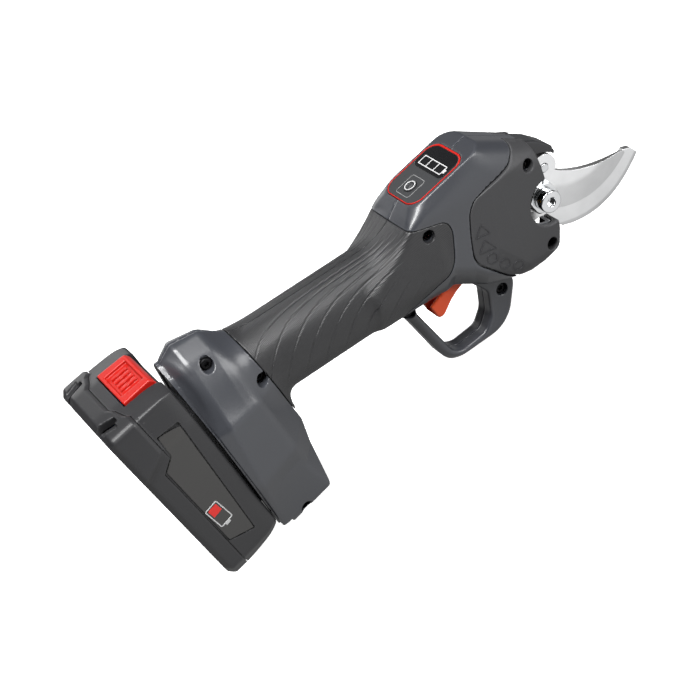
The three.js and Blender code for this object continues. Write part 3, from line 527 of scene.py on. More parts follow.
PANEL_ZONE = Outline([
    (150, -10), (164, 12), (192, 22), (198, 27), (203, 45), (201, 52), (190, 55), (178, 58.5),
    (172, 70), (40, 70), (40, -10),
], radius=4)
GUARD_OUTER = Outline([
    (239, -2), (233.5, -18), (226, -33), (220, -38.5), (213, -41), (189, -41.5), (182, -39),
    (178, -34), (167, 0), (158, 12), (170, 20), (225, 20),
], radius=3.5)
GUARD_OPENING = Outline([
    (216, -13), (213, -27), (206, -35), (190, -36.5), (184, -33), (172, 3), (175, 9), (190, 9.5),
    (203, 3.5), (210, -4),
], radius=3)
TRIGGER_SLOT = Outline([(179, 2), (206, -6), (214.5, -1), (214.5, 14), (204, 19), (179, 14)])
HEAD_SPACE = Outline([
    (208, 8), (246, 2), (256, 6.5), (300, -30), (300, 60), (262, 49), (244, 47), (208, 47),
])
NOSE_SIDE = Outline([
    (263, 60), (272, 54.5), (279, 48), (283, 42.5), (285, 37.5), (284, 35.5), (282, 38.5), (279, 41.7),
    (275, 44.6), (270, 46.6), (264, 47.4), (263, 50),
], radius=0.6)


def grip_field(u, y, n):
    near_foot = np.clip((94 - u) / 34, 0, 1) ** 2
    half_width = GRIP_HALF[0] + GRIP_FLARE[0] * near_foot
    half_depth = GRIP_HALF[1] + GRIP_FLARE[1] * near_foot
    across = (np.abs(y) / half_width) ** GRIP_SQUARENESS
    along = (np.abs(n - GRIP_HEIGHT) / half_depth) ** GRIP_SQUARENESS
    tube = ((across + along) ** (1 / GRIP_SQUARENESS) - 1) * GRIP_HALF[0]
    h, _ = part_to_seat(*handle_to_part(u, n))
    return rounded(3, tube, u - 190, 8 - h)


def head_field(u, y, n):
    w = np.abs(y)
    side = w - HALF_WIDTH + 0.1525 * np.maximum(u - 236, 0)
    rim_height = 67.1 + (u - 190) * math.tan(LEAN)
    lean_in = np.clip(3.9 / np.maximum(rim_height - 61.5, 4.5), 0.2, 0.8)
    skirt = (w - HALF_WIDTH + lean_in * (n - 61.5)) * 0.92
    nose = 0.332 * (u - 240) + 0.843 * (w - HALF_WIDTH) + 0.423 * (n - 60)
    low = n - np.interp(u, *HEAD_FLOOR)
    chin = 0.816 * (w - np.interp(u, (208, 230), (12.5, 18))) - 0.578 * (low - 1)
    front = 0.535 * (u - 236.5) + 0.845 * (n - 77.4)
    rear = -0.63 * (u - 188.5) + 0.776 * (n - 66.7)
    plateau = (n - rim_height) * math.cos(LEAN)
    body = rounded(2.5, side, skirt, chin)
    body = smooth_max(body, nose, 2)
    body = smooth_max(body, smooth_max(front, rear, 1), 6)
    body = smooth_max(body, plateau, 0.8)
    return smooth_max(body, HEAD_SIDE(u, n), 2)


FOOT_PLAN = Outline([
    (-74, -9), (-59.5, -31.5), (-22, -38), (16, -34), (49, -14), (58, -4), (58, 4), (49, 14), (16, 34),
    (-22, 38), (-59.5, 31.5), (-74, 9),
], radius=3)
FOOT_LIP = (-57, 6.3)


def foot_field(u, y, n):
    h, s = part_to_seat(*handle_to_part(u, n))
    plan = FOOT_PLAN(s, y)
    belt = np.clip(6 + 0.11 * s, 1.5, 11)
    under = (plan + (belt - h) * 0.5) * 0.894
    taper = np.interp(s, (-58, -30), (0.08, 0.26))
    upper = (plan + (h - belt) * taper) * 0.968
    face = 0.05 * h - 67 - s
    drop = np.interp(s, (-62, -36), (0, 6))
    shoulder = (plan + drop + (h - 33 + 0.67 * drop) * 1.1) * 0.673
    front = 0.97 * (h - 32.5) - 0.243 * (s + 65.5)
    rear = 0.69 * (h - 33) + 0.724 * (s - 49)
    body = rounded(1.6, upper, shoulder, front, rear)
    body = smooth_max(body, face, 1)
    body = smooth_max(body, h - 46, 4)
    body = smooth_max(body, under, 0.8)
    lip = np.maximum(s - FOOT_LIP[0], h - FOOT_LIP[1])
    body = smooth_max(smooth_max(body, -lip, 0.8), -h, 0.8)
    band = np.maximum(plan + 4.5, -plan - 9)
    rim = np.maximum(band, np.maximum(np.abs(h - 0.2) - 1.0, FOOT_LIP[0] - s))
    return np.minimum(body, rim)


def skin_field(u, y, n):
    skin = smooth_min(grip_field(u, y, n), head_field(u, y, n), 9)
    return smooth_min(skin, foot_field(u, y, n), 7)


def panel_zone(u, n):
    x, _ = handle_to_part(u, n)
    return np.maximum(PANEL_ZONE(u, n), PANEL_REAR_X - x)


# Every screw goes in from the right: along, height, y of the head's outer face.
SCREWS = {
    "screw_body": (189, 50, -15.5), "screw_guard_front": (224, -16, -5.5),
    "screw_guard_rear": (168.5, 5, -5.5), "screw_cover_upper": (257.5, 51.5, -12),
    "screw_cover_lower": (256.5, -0.5, -12), "screw_foot_rear": (54, 55, -15),
    "screw_foot_middle": (75.5, 32, -16), "screw_foot_front": (65, -47, -20),
}
SCREW_RECESS = 3.7
SCREW_BORE = 2.1
SCREW_DEPTH = 2.7
SCREW_HEAD = 3.35
SCREW_SHANK = 1.7


def screw_holes(u, y, n):
    holes = np.full(u.shape, 1e3)
    for along, height, face in SCREWS.values():
        reach = np.hypot(u - along, n - height)
        recess = np.maximum(reach - SCREW_RECESS, y - face - SCREW_DEPTH)
        holes = np.minimum(holes, np.minimum(recess, np.maximum(reach - SCREW_BORE, y - 6.2)))
    return holes


def screw_field(face):
    """Pan head with a star socket and a plain shank, on its own axis."""
    def field(x, y, z):
        reach = np.hypot(x, z)
        star = 1.45 + 0.28 * np.cos(6 * np.arctan2(z, x))
        dome = (reach - 3.1 + 0.8 * (face + 0.4 - y)) * 0.78
        head = rounded(0.5, reach - SCREW_HEAD, face - y, y - face - 2.4, dome)
        shank = np.maximum(reach - SCREW_SHANK, np.maximum(face + 1 - y, y - 5))
        socket = np.maximum(reach - star, y - face - 1.5)
        return smooth_max(np.minimum(head, shank), -socket, 0.2)
    return field


def build_screws():
    # The heads take the darkened black steel, a painted shade for the deep screw holes.
    for name, (along, height, face) in SCREWS.items():
        place = HANDLE @ Matrix.Translation((along, 0, height))
        carved(f"{name}_turned", screw_field(face), (-4.2, face - 1, -4.2), (4.2, 6, 4.2), 0.26,
               place, "handle", BLACK_STEEL_WITH_HOLE_SHADE, [name], 30)


def guard_field(u, y, n):
    w = np.abs(y)
    outer = GUARD_OUTER(u, n)
    opening = -GUARD_OPENING(u, n)
    walls = smooth_max(outer + 0.9 * np.clip(w - 4.5, 0, 9), w - GUARD_HALF, 1.2)
    ledge = smooth_max(opening, (opening + w - GUARD_HALF + 1.2) * 0.707, 0.8)
    return smooth_max(walls, ledge, 0.8)


def vents(u, y, n):
    h, s = part_to_seat(*handle_to_part(u, n))
    bars = np.abs(np.mod(y + 5, 10) - 5) - 2
    return rounded(0.5, bars, np.abs(y) - 18, np.abs(h - 23) - 7, s + 60)


def head_openings(u, y, n):
    """The jaws' space between the cheeks, the round notch at the pivot and the nose's seat."""
    space = np.maximum(HEAD_SPACE(u, n), np.abs(y - 4.75) - 10.75)
    notch = distance(PIVOT, u, n) - 14
    nose = np.maximum(NOSE_SIDE(u, n) - 0.3, np.abs(y) - 8.3)
    return space, notch, nose


def pivot_web(u, y, n, skin):
    """Wall of the left half that closes the head below and behind the pivot."""
    reach = distance(PIVOT, u, n)
    sheet = np.maximum(np.abs(y - 7) - 1.2, np.abs(reach - 13.3) - 7.7)
    corner = np.maximum(n - PIVOT[1] - 2, u - PIVOT[0] - 4)
    return np.maximum(np.maximum(sheet, corner), skin + 0.6)


def shell_field(u, y, n):
    """Both halves of the housing together, before they are split at the centre plane."""
    skin = skin_field(u, y, n)
    zone = panel_zone(u, n)
    panel_space = rounded(0.4, -(skin + PANEL_DEPTH + 0.3), zone - 0.35)
    cover_zone = COVER_ZONE(u, n) - COVER_GAP
    under_cover = -(skin + COVER_SEAT)
    cover_space = rounded(0.4, under_cover, cover_zone, 3.6 - np.abs(y) - 50 * (n < 20))
    body = smooth_max(skin, -panel_space, 0.5)
    body = smooth_max(body, -cover_space, 0.5)
    guard = np.maximum(guard_field(u, y, n), -np.maximum(cover_zone, under_cover))
    body = smooth_min(body, guard, 1.2)
    x, z = handle_to_part(u, n)
    pocket = np.maximum(rounded_box(x - DISPLAY[0], y, 19.65, 15.75, 8.2), DISPLAY[1] - 7 - z)
    opening = np.maximum(TRIGGER_SLOT(u, n), np.abs(y) - 6.6)
    pin = np.maximum(distance(TRIGGER_PIN, u, n) - 2.3, np.abs(y) - 9.3)
    for tool in (pocket, opening, *head_openings(u, y, n), pin, vents(u, y, n)):
        body = smooth_max(body, -tool, 0.5)
    hollow = np.maximum(skin + SHELL_WALL, np.abs(u - HOLLOW_MIDDLE) - HOLLOW_HALF)
    body = np.maximum(body, -hollow)
    return np.minimum(body, pivot_web(u, y, n, skin))


def shell_half(side):
    def field(u, y, n):
        body = shell_field(u, y, n)
        if side < 0:
            body = smooth_max(body, -screw_holes(u, y, n), 0.5)
        return smooth_max(body, 0.14 - side * y, 0.7)
    return field


GROOVE_COUNT = 9


def groove_flow(u, y, n):
    """Bearing around the grip less the bearing of the nearest leaf-shaped groove, in degrees."""
    bearing = np.degrees(np.arctan2(n - GRIP_HEIGHT, np.abs(y) + 0.01))
    best = np.full(u.shape, 1e3)
    for copy in range(GROOVE_COUNT):
        start = 74 + 12 * copy
        bend = np.exp(-np.clip((u - start) / 15, -1.3, 9))
        line = 78 - 7.5 * copy - (52 - 2 * copy) * bend
        away = bearing - line
        away = np.where(u < start - 16, 1e3, away)
        best = np.where(np.abs(away) < np.abs(best), away, best)
    return best


def panel_field(side):
    def field(u, y, n):
        skin = skin_field(u, y, n)
        flow = groove_flow(u, y, n)
        away = np.abs(flow) * math.radians(1) * 21
        fade = np.clip((n - 12) / 14, 0, 1) * np.clip((192 - u) / 40, 0, 1)
        groove = 0.32 * np.clip(1 - away / 0.7, 0, 1) * fade
        layer = smooth_max(skin + groove, -(skin + PANEL_DEPTH), 0.3)
        layer = smooth_max(layer, panel_zone(u, n), 0.8)
        if side < 0:
            layer = smooth_max(layer, -screw_holes(u, y, n), 0.5)
        return smooth_max(layer, 0.12 - side * y, 0.5)
    return field


def cover_field(side):
    def field(u, y, n):
        skin = skin_field(u, y, n)
        outer = cover_face(u, n, skin)
        body = smooth_max(outer, -(skin + 2.4), 0.4)
        body = smooth_max(body, COVER_ZONE(u, n) + 0.45, 0.8)
        body = smooth_max(body, u - 265.2, 0.8)
        body = smooth_max(body, np.where(n > 20, 3.9, 0.2) - side * y, 0.4)
        mouth = np.maximum(262 - u, np.abs(y) - 5.5)
        for tool in (mouth, *head_openings(u, y, n)):
            body = smooth_max(body, -tool, 0.6)
        if side < 0:
            body = smooth_max(body, -screw_holes(u, y, n), 0.6)
        return body
    return field


TRIANGLES = [[(219.2, 38), (213.4, 32), (222.2, 31)], [(218.1, 28.6), (212.6, 22.5), (222.8, 20.6)]]
RINGS = [(218.7, 15.6), (224.7, 8.2), (231.6, 2.2)]
RING_RADIUS = 3.0
MARK_LINE = 0.3


def cover_mark_field(side):
    """Plain triangles and rings raised on the cover's lower rear border."""
    triangles = [Outline(points, radius=0.5, cell=0.2, margin=4) for points in TRIANGLES]

    def field(u, y, n):
        lines = np.full(u.shape, 1e3)
        for triangle in triangles:
            lines = np.minimum(lines, np.abs(triangle(u, n)) - MARK_LINE)
        for along, height in RINGS:
            reach = np.hypot(u - along, n - height)
            lines = np.minimum(lines, np.abs(reach - RING_RADIUS) - MARK_LINE)
        outer = cover_face(u, n, skin_field(u, y, n))
        return rounded(0.2, lines, np.abs(outer) - 0.28, 2 - side * y)
    return field


SIDES = ((-1, "right"), (1, "left"))


def span(side, inner, outer):
    """The lowest and highest y between two distances from the centre plane, on one side."""
    return sorted((side * inner, side * outer))


def build_handle():
    for side, word in SIDES:
        reach = span(side, -1.5, 41)
        carved(f"{word}_shell", shell_half(side), (24, reach[0], -64), (270, reach[1], 84), 0.7,
               HANDLE, "handle", SHELL, [f"{word}_housing"])
        grip = carved(f"{word}_grip", panel_field(side), (66, reach[0], 0), (206, reach[1], 74), 0.5,
                      HANDLE, "handle", RUBBER, [f"{word}_grip_panel"])
        flow_attribute(grip)
        carved(f"{word}_cover", cover_field(side), (206, reach[0], -12), (268, reach[1], 72), 0.45,
               HANDLE, "handle", COVER, [f"{word}_gear_cover"])
        reach = span(side, 12, 25)
        carved(f"{word}_cover_marks", cover_mark_field(side), (209, reach[0], -3), (237, reach[1], 41),
               0.24, HANDLE, "handle", NYLON, ())


def flow_attribute(thing):
    """Stores how far round the grip each point lies, for the rubber's hair lines."""
    mesh = thing.data
    flat = np.zeros(len(mesh.vertices) * 3)
    mesh.vertices.foreach_get("co", flat)
    x, y, z = flat.reshape(-1, 3).T / MM
    u, n = turned(x, z, LEAN)
    bearing = np.degrees(np.arctan2(n - GRIP_HEIGHT, np.abs(y) + 0.01))
    spot = bearing + 50 * np.exp(-np.clip((u - 74) / 60, -0.5, 9)) * 1.2
    mesh.attributes.new("flow", "FLOAT", "POINT").data.foreach_set("value", spot.astype(np.float32))


# ---- nose, display, trigger ---------------------------------


def nose_field(u, y, n):
    body = rounded(1.6, NOSE_SIDE(u, n), np.abs(y) - 8 + 0.16 * np.maximum(u - 266, 0))
    bearing = np.arctan2(n - PIVOT[1], u - PIVOT[0])
    relief = np.maximum(y - 0.3, (bearing - math.radians(48)) * 20)
    return smooth_max(body, -relief, 0.5)


RING_WIDTH = 0.55
RING_FRONT_WIDTH = 1.15
PLATE_DEPTH = 2.2
KEY_X = -9.8
CELL_X = 6.7
CELL_HALF = (2.8, 10.6)


def display_outline(x, y, inset):
    """The display's outline, drawn in by an inset and further at the front edge."""
    extra = (RING_FRONT_WIDTH - RING_WIDTH) / 2 if inset > 0 else 0
    half_x, half_y = DISPLAY_HALF
    return rounded_box(x + extra, y, half_x - inset - extra, half_y - inset, 8 - inset)


def ring_field(x, y, z):
    band = np.maximum(display_outline(x, y, 0), -display_outline(x, y, RING_WIDTH))
    return rounded(0.25, band, z - 0.3, -PLATE_DEPTH - z)


def window_field(x, y, z):
    sheet = rounded(0.3, display_outline(x, y, RING_WIDTH + 0.12), z - 0.1, -PLATE_DEPTH - z)
    key = np.hypot(x - KEY_X, y) - 3.9
    return smooth_max(sheet, -key, 0.3)


def glass_field(x, y, z):
    zone = rounded_box(x - 9.8, y, 8.2, 14, 3.6)
    return rounded(0.2, zone, display_outline(x, y, RING_WIDTH + 0.4), z - 0.32, -0.2 - z)


def key_field(x, y, z):
    """A round key with a rim and a short raised bar across its dish."""
    reach = np.hypot(x - KEY_X, y)
    dish = rounded(0.3, reach - 2.5, 0.15 - z)
    bar = rounded(0.2, np.abs(x - KEY_X) - 1.5, np.abs(y) - 0.35, z - 0.4)
    body = rounded(0.4, reach - 3.6, z - 0.75, -2.4 - z)
    return smooth_min(smooth_max(body, -dish, 0.3), np.maximum(bar, -z - 1), 0.2)


def key_ring_field(x, y, z):
    return np.hypot(np.hypot(x - KEY_X, y) - 3.0, z - 0.7) - 0.3


def key_mark_field(x, y, z):
    """The rounded square printed around the key."""
    outline = np.abs(rounded_box(x - KEY_X, y, 6.5, 6.1, 1.6)) - 0.16
    return np.maximum(outline, np.abs(z - 0.08) - 0.12)


def cell_mark_field(x, y, z):
    """A battery with three cells, drawn in lines on the window."""
    line = 0.28
    frame_line = np.abs(rounded_box(x - CELL_X, y, *CELL_HALF, 0.3)) - line
    bars = np.maximum(np.abs(np.abs(y) - 3.6) - line, np.abs(x - CELL_X) - CELL_HALF[0])
    tip = rounded_box(x - CELL_X, y + (CELL_HALF[1] + 1), 1.3, 0.8, 0.2)
    drawing = np.minimum(np.minimum(frame_line, bars), tip)
    return np.maximum(drawing, np.abs(z - 0.34) - 0.12)


TRIGGER_SIDE = Outline([
    (213, 8), (212, 3.5), (208, 1.3), (204, 0.5), (199, -1.5), (194, -4.6), (189.5, -8.6), (187, -10.4),
    (184.5, -10.2), (183, -8.5), (181, -0.5), (190, 3), (198, 5), (204, 11), (209, 12.6),
], radius=1.2)
TRIGGER_POCKET = Outline([
    (170, -3), (183.6, -7.4), (186.2, -7.9), (189.5, -5.8), (194.5, -1.8), (202, 3.2), (202, 20),
    (170, 20),
], radius=1)


def trigger_field(u, y, n):
    body = rounded(1.6, TRIGGER_SIDE(u, n), np.abs(y) - 6)
    ribs = np.maximum(np.abs(u - 190.5 - 0.3 * n) - 0.7, n - 1)
    pocket = rounded(0.5, TRIGGER_POCKET(u, n), np.abs(y) - 4.6, -ribs)
    body = smooth_max(body, -pocket, 0.5)
    return np.maximum(body, 2.3 - distance(TRIGGER_PIN, u, n))


def build_head():
    carved("nose", nose_field, (258, -9.5, 32), (289, 9.5, 63), 0.4, HANDLE, "handle", NYLON,
           ["nose_cap"])
    carved("display_frame", ring_field, (-21, -17, -4), (21, 17, 2), 0.22, SCREEN, "handle", RED,
           ["display_trim_ring"])
    carved("display_face", window_field, (-21, -16, -4), (21, 16, 2), 0.3, SCREEN, "handle", PANEL,
           ["display_lens"])
    carved("display_glass", glass_field, (-1, -16, -2), (20, 16, 2), 0.3, SCREEN, "handle", WINDOW, ())
    carved("power_key", key_field, (-15, -5, -4), (-5, 5, 2), 0.2, SCREEN, "power_button", PANEL,
           ["power_button"])
    carved("key_mark", key_mark_field, (-17.5, -7.5, -0.6), (-2, 7.5, 0.8), 0.14, SCREEN, "handle",
           FAINT_MARK, ())
    carved("key_ring", key_ring_field, (-15, -5, 0), (-5, 5, 1.4), 0.16, SCREEN, "power_button", MARK, ())
    carved("cell_mark", cell_mark_field, (2.5, -14, -0.4), (11, 12, 1), 0.16, SCREEN, "handle", MARK, ())
    carved("trigger_lever", trigger_field, (178, -8, -14), (216, 8, 16), 0.35, HANDLE, "trigger", ORANGE,
           ["trigger"])


# ---- blades and pivot ---------------------------------------


def bezier(start, c1, c2, end, steps=14):
    t = np.linspace(0, 1, steps)[:, None]
    s, a, b, e = (np.array(p, float) for p in (start, c1, c2, end))
    return (1 - t) ** 3 * s + 3 * t * (1 - t) ** 2 * a + 3 * t * t * (1 - t) * b + t ** 3 * e


CUTTING_EDGE = bezier((326, 10.5), (313, 0), (294, -5.5), (274, 5))
CUTTING_SIDE = Outline(np.vstack([
    bezier((280.5, 28.5), (291, 20.5), (305, 16), (322.5, 14)), [(325, 12.9)], CUTTING_EDGE,
    [(262, 12), (256, 14.5), (252.5, 20), (252.6, 27), (257, 33), (265, 38)],
]))
CUTTING_GRIND = Outline(np.vstack([bezier((326.5, 10.5), (313, -0.5), (294, -6), (272, 5)),
                                   [(272, -30), (326.5, -30)]]))
COUNTER_SIDE = Outline(np.vstack([
    [(240, 25), (254, 25), (258, 31.5), (264, 33.8), (270, 31.5), (273.5, 27)],
    bezier((274.5, 22), (280, 4), (305, -6), (326, 12.5)), [(330.5, 11), (334.5, 5)],
    bezier((334.5, 5), (318, -11), (298, -18), (276, -9)), [(264, 5), (240, 5)],
]))
COUNTER_BACK = Outline(np.vstack([bezier((336, 6), (318, -11), (298, -18), (274, -9)),
                                  [(274, -40), (345, -40), (345, 6)]]))
BLADE_FACES = (0.15, 4.25)
PIVOT_BORE = 5.3


def cutting_field(u, y, n):
    ear = distance(EAR, u, n) - 8
    side = np.minimum(CUTTING_SIDE(u, n), ear)
    body = rounded(0.5, side, -(y + BLADE_FACES[1]), y + BLADE_FACES[0])
    away = CUTTING_GRIND(u, n)
    slope_face = (-y - 0.4 - 0.25 * np.maximum(away, 0)) * 0.97
    body = smooth_max(body, slope_face, 0.4)
    pivot_hole = distance(PIVOT, u, n) - PIVOT_BORE
    ear_hole = distance(EAR, u, n) - 2.8
    return smooth_max(body, -np.minimum(pivot_hole, ear_hole), 0.3)


def counter_field(u, y, n):
    back = COUNTER_BACK(u, n)
    body = rounded(0.7, COUNTER_SIDE(u, n), y - BLADE_FACES[1], BLADE_FACES[0] - y)
    chamfer = (y - 2 - 0.55 * np.maximum(back, 0)) * 0.87
    body = smooth_max(body, chamfer, 0.4)
    border = (BLADE_FACES[0] + 0.3 * np.clip(3.2 - back, 0, 4) - y) * 0.96
    body = smooth_max(body, border, 0.2)
    return smooth_max(body, PIVOT_BORE - distance(PIVOT, u, n), 0.3)


def hexagon(x, z, across, turn=0.0):
    reach = np.full(x.shape, -1e3)
    for face in range(3):
        bearing = math.radians(60 * face) + turn
        reach = np.maximum(reach, np.abs(x * math.cos(bearing) + z * math.sin(bearing)) - across / 2)
    return reach


def nut_field(low, high, across, turn):
    """Hexagon nut on the pivot, chamfered at both ends."""
    def field(u, y, n):
        x, z = u - PIVOT[0], n - PIVOT[1]
        reach = np.hypot(x, z)
        cone = across / 2 + 0.45
        near = (reach - cone - (y - low) * 1.6) * 0.53
        far = (reach - cone - (high - y) * 1.6) * 0.53
        body = rounded(0.3, hexagon(x, z, across, turn), low - y, y - high, near, far)
        return smooth_max(body, 5.25 - reach, 0.25)
    return field


def washer_field(u, y, n):
    reach = distance(PIVOT, u, n)
    return rounded(0.4, reach - 9.6, np.abs(y + 5.3) - 0.7, PIVOT_BORE - reach)


def bolt_field(u, y, n):
    x, z = u - PIVOT[0], n - PIVOT[1]
    reach = np.hypot(x, z)
    rim = (reach - 6.9 + (-19.1 - y) * 0.9) * 0.74
    head = rounded(0.5, reach - 6.5, -20 - y, y + 13.7, rim)
    shank = rounded(0.5, reach - 5, -14.5 - y, y - 16.5)
    socket = np.maximum(hexagon(x, z, 4.6, 0.3), y + 17.3)
    funnel = (reach - 2.9 + (y + 20)) * 0.7
    body = np.minimum(head, shank)
    body = smooth_max(body, -socket, 0.2)
    return smooth_max(body, -np.maximum(funnel, -21 - y), 0.2)


def pin_field(centre, low, high, radius):
    def field(u, y, n):
        reach = distance(centre, u, n)
        return rounded(0.5, reach - radius, low - y, y - high)
    return field


def build_cutters():
    carved("cutting_blade_ground", cutting_field, (249, -6, -8), (330, 1.5, 46), 0.35, HANDLE,
           "blade", BLADE, ["cutting_blade"], 25)
    carved("counter_blade_ground", counter_field, (238, -1.5, -20), (339, 6, 37), 0.33, HANDLE,
           "handle", BLADE, ["counter_blade"], 25)
    carved("pivot_washer_turned", washer_field, (252, -7.5, 12), (275, -3, 36), 0.3, HANDLE,
           "handle", CHROME, ["pivot_washer"], 30)
    carved("pivot_nut_turned", nut_field(-13.4, -6.3, 16.2, 0.35), (252, -15, 12), (275, -5, 36), 0.25,
           HANDLE, "handle", CHROME, ["pivot_nut"], 25)
    carved("pivot_bolt_turned", bolt_field, (255, -22, 15), (272, 18, 33), 0.22, HANDLE, "handle", CHROME,
           ["pivot_bolt"], 30)
    carved("pivot_lock_nut_turned", nut_field(8.9, 14, 15, 0.1), (252, 7, 12), (275, 15, 36), 0.3, HANDLE,
           "handle", CHROME, ["pivot_lock_nut"], 25)
    carved("blade_pin_turned", pin_field(EAR, -4.9, 9, 2.5), (269, -6.5, 30), (278, 10.5, 39), 0.25, HANDLE,
           "blade", CHROME, ["blade_pin"], 30)


# ---- battery ------------------------------------------------

BATTERY_PLAN = Outline([
    (-60.5, -28), (-49, -36.8), (36, -37.5), (58.7, -32.3), (61.3, -14), (61.3, 14), (58.7, 32.3),
    (36, 37.5), (-49, 36.8), (-60.5, 28),
], radius=2.5)
SEAM = ([-80, 26, 31.5, 80], [11, 11, 18.4, 18.4])
REAR_SEAM = ([0, 13, 17, 24, 27], [12.4, 12.4, 14.6, 16.6, 18.8])
BUTTON_X = (20, 39.5)
TOP_SLOPE = 0.0402
LABEL_DEPTH = 1.4
LABEL_SIDE = Outline([
    (26.3, 12), (31.6, 19.3), (44.3, 20.4), (42.5, 33.6), (-39.6, 26.1), (-33.7, 12),
], radius=0.8)


def battery_body(x, y, z, swell=0.0):
    plan = BATTERY_PLAN(z, y) - swell
    foot = (plan + (3.2 - x) * 1.1) * 0.67
    front = (-z - 60.5 + 0.27 * (x - 14)) * 0.965
    top = x - 39.2 - TOP_SLOPE * z
    shoulder = (plan + (x - 30.5 - TOP_SLOPE * z) * 0.47) * 0.905
    upper = (plan + (x - 16) * 0.09) * 0.995
    body = rounded(1.6, plan, shoulder, upper, top)
    body = smooth_max(body, front, 1.6)
    body = smooth_max(body, foot, 1.0)
    return smooth_max(body, -x, 0.6)


def rail_field(x, y, z, spread):
    h, s = part_to_seat(x, z)
    stem = np.maximum(np.abs(y) - 16 - spread, -5 - spread - h)
    flange = np.maximum(np.abs(y) - 20 - spread, np.abs(h + 6.75) - 1.75 - spread)
    return np.maximum(np.minimum(stem, flange), s - 26 - spread)


def button_well(x, y, z):
    return rounded(1.0, np.abs(y) - 18.1, 19.4 - x, 46 - z)


def rear_scoops(x, y, z):
    """Two hooked slots that run up the rear wall from the underside."""
    slant = np.abs(y) - 19.2 - 0.28 * x
    slot = rounded(0.7, np.abs(slant) - 2.1, x - 12.4, 56 - z)
    ramp = rounded(0.8, np.abs(slant - 3.2) - 2.4, x - 10.5, 59.8 - z)
    return np.minimum(slot, ramp)


def seam_height(y, z):
    """The parting line steps up towards the rear and dips below the button."""
    side = np.interp(z, *SEAM)
    return np.where(z > 50, np.minimum(side, np.interp(np.abs(y), *REAR_SEAM)), side)


LIP = 2.0
LIP_WALL = (1.5, 2.8)


def case_field(upper):
    def field(x, y, z):
        seam = seam_height(y, z)
        plan = BATTERY_PLAN(z, y)
        swell = 1.6 * np.clip((z - 27 - 0.45 * x) / 4, 0, 1) * np.clip((seam + 1 - x) / 3, 0, 1)
        body = battery_body(x, y, z, swell)
        if upper:
            label = np.maximum(LABEL_SIDE(z, x) - 0.25, -body - LABEL_DEPTH)
            body = smooth_max(body, -label, 0.25)
            body = smooth_max(body, (seam + 0.3 - x) * 0.8, 0.5)
            body = smooth_max(body, -button_well(x, y, z), 0.6)
            inside = np.maximum(plan + 4, x - 27)
            rebate = np.maximum(plan + LIP_WALL[0] - 0.3, x - seam - LIP - 0.5)
            body = np.maximum(body, -np.minimum(inside, rebate))
            return np.maximum(body, -rail_field(x, y, z, 0.6))
        body = smooth_max(body, (x - seam) * 0.8, 0.5)
        body = smooth_max(body, -rear_scoops(x, y, z), 0.5)
        inside = np.maximum(plan + LIP_WALL[1], 3 - x)
        lip = np.maximum(np.maximum(plan + LIP_WALL[0], x - seam - LIP), seam - 4 - x)
        return np.maximum(np.minimum(body, lip), -inside)
    return field


RIB_PITCH = 4.2
SPRING_X = 29


def button_field(x, y, z):
    """The release key: a ribbed recess in a sloping face, and a well for the spring behind it."""
    low, high = BUTTON_X
    face = 61.4 - 0.05 * (x - low)
    cheek = np.abs(y) - 17.5 + 0.06 * (x - low)
    top = (z + 1.6 * (x - high) - 57.5) * 0.53
    body = rounded(0.9, cheek, low - x, x - high, 50 - z, z - face, top)
    recess = rounded(0.5, np.abs(y) - 11.5, np.abs(x - SPRING_X) - 6.8, face - 1.7 - z)
    bars = np.abs(np.mod(y, RIB_PITCH) - RIB_PITCH / 2) - 0.85
    ribs = rounded(0.4, bars, np.abs(y) - 8.6, np.abs(x - SPRING_X) - 5, z - face + 0.3)
    spring_well = np.maximum(np.hypot(x - SPRING_X, y) - 4, z - 54)
    body = smooth_max(body, -np.minimum(recess, spring_well), 0.7)
    ribbed = np.maximum(ribs, face - 3 - z)
    return smooth_min(body, ribbed, 0.5)


def label_face(x, y, z):
    """Height above the label, which lies deep at its rear end and flush at the front."""
    return battery_body(x, y, z) + np.clip((z + 10) / 70, 0.12, 0.75)


def label_field(x, y, z):
    """A sheet that starts deep at its rear end and comes flush towards the front."""
    sheet = LABEL_SIDE(z, x) + 0.4
    return rounded(0.25, sheet, label_face(x, y, z), 0.1 - battery_body(x, y, z) - LABEL_DEPTH)


def label_mark(x, z):
    """Outline of a plain battery: line drawing and filled cell."""
    across, along = turned(x - 17.2, z + 16, -0.09)
    outline = np.minimum(np.abs(rounded_box(across, along, 4, 7.2, 0.8)) - 0.3,
                         rounded_box(across, along + 8.2, 1.6, 0.7, 0.2))
    cell = rounded_box(across, along - 3.4, 2.9, 2.7, 0.3)
    return outline, cell


def label_mark_field(part):
    def field(x, y, z):
        return np.maximum(label_mark(x, z)[part], np.abs(label_face(x, y, z)) - 0.2)
    return field


def build_battery():
    low, high = (-2, -40, -63), (44, 40, 64)
    carved("battery_upper", case_field(True), low, high, 0.5, PART, "battery", CASE,
           ["battery_upper_case"])
    carved("battery_lower", case_field(False), low, (21, 40, 64), 0.6, PART, "battery", CASE,
           ["battery_lower_case"])
    carved("release_key", button_field, (18, -20, 48), (42, 20, 64), 0.28, PART, "release_button", RED,
           ["release_button"])
    for side, word in SIDES:
        reach = span(side, 35.5, 39)
        carved(f"{word}_label", label_field, (10, reach[0], -41), (35, reach[1], 46), 0.4, PART,
               "battery", LABEL, [f"{word}_label_plate"])
        for part, look in enumerate((MARK, MARK_RED)):
            carved(f"{word}_label_mark_{part}", label_mark_field(part), (12, reach[0], -27),
                   (23, reach[1], -5), 0.19, PART, "battery", look, ())


# ---- stage --------------------------------------------------

FLOOR_REACH = 6.0
FLOOR_DROP = 0.03
FLOOR_BRIGHTNESS = 0.6
FLOOR_GLOW = 0.16
LIGHT_TARGET = (0.16, 0, -0.02)
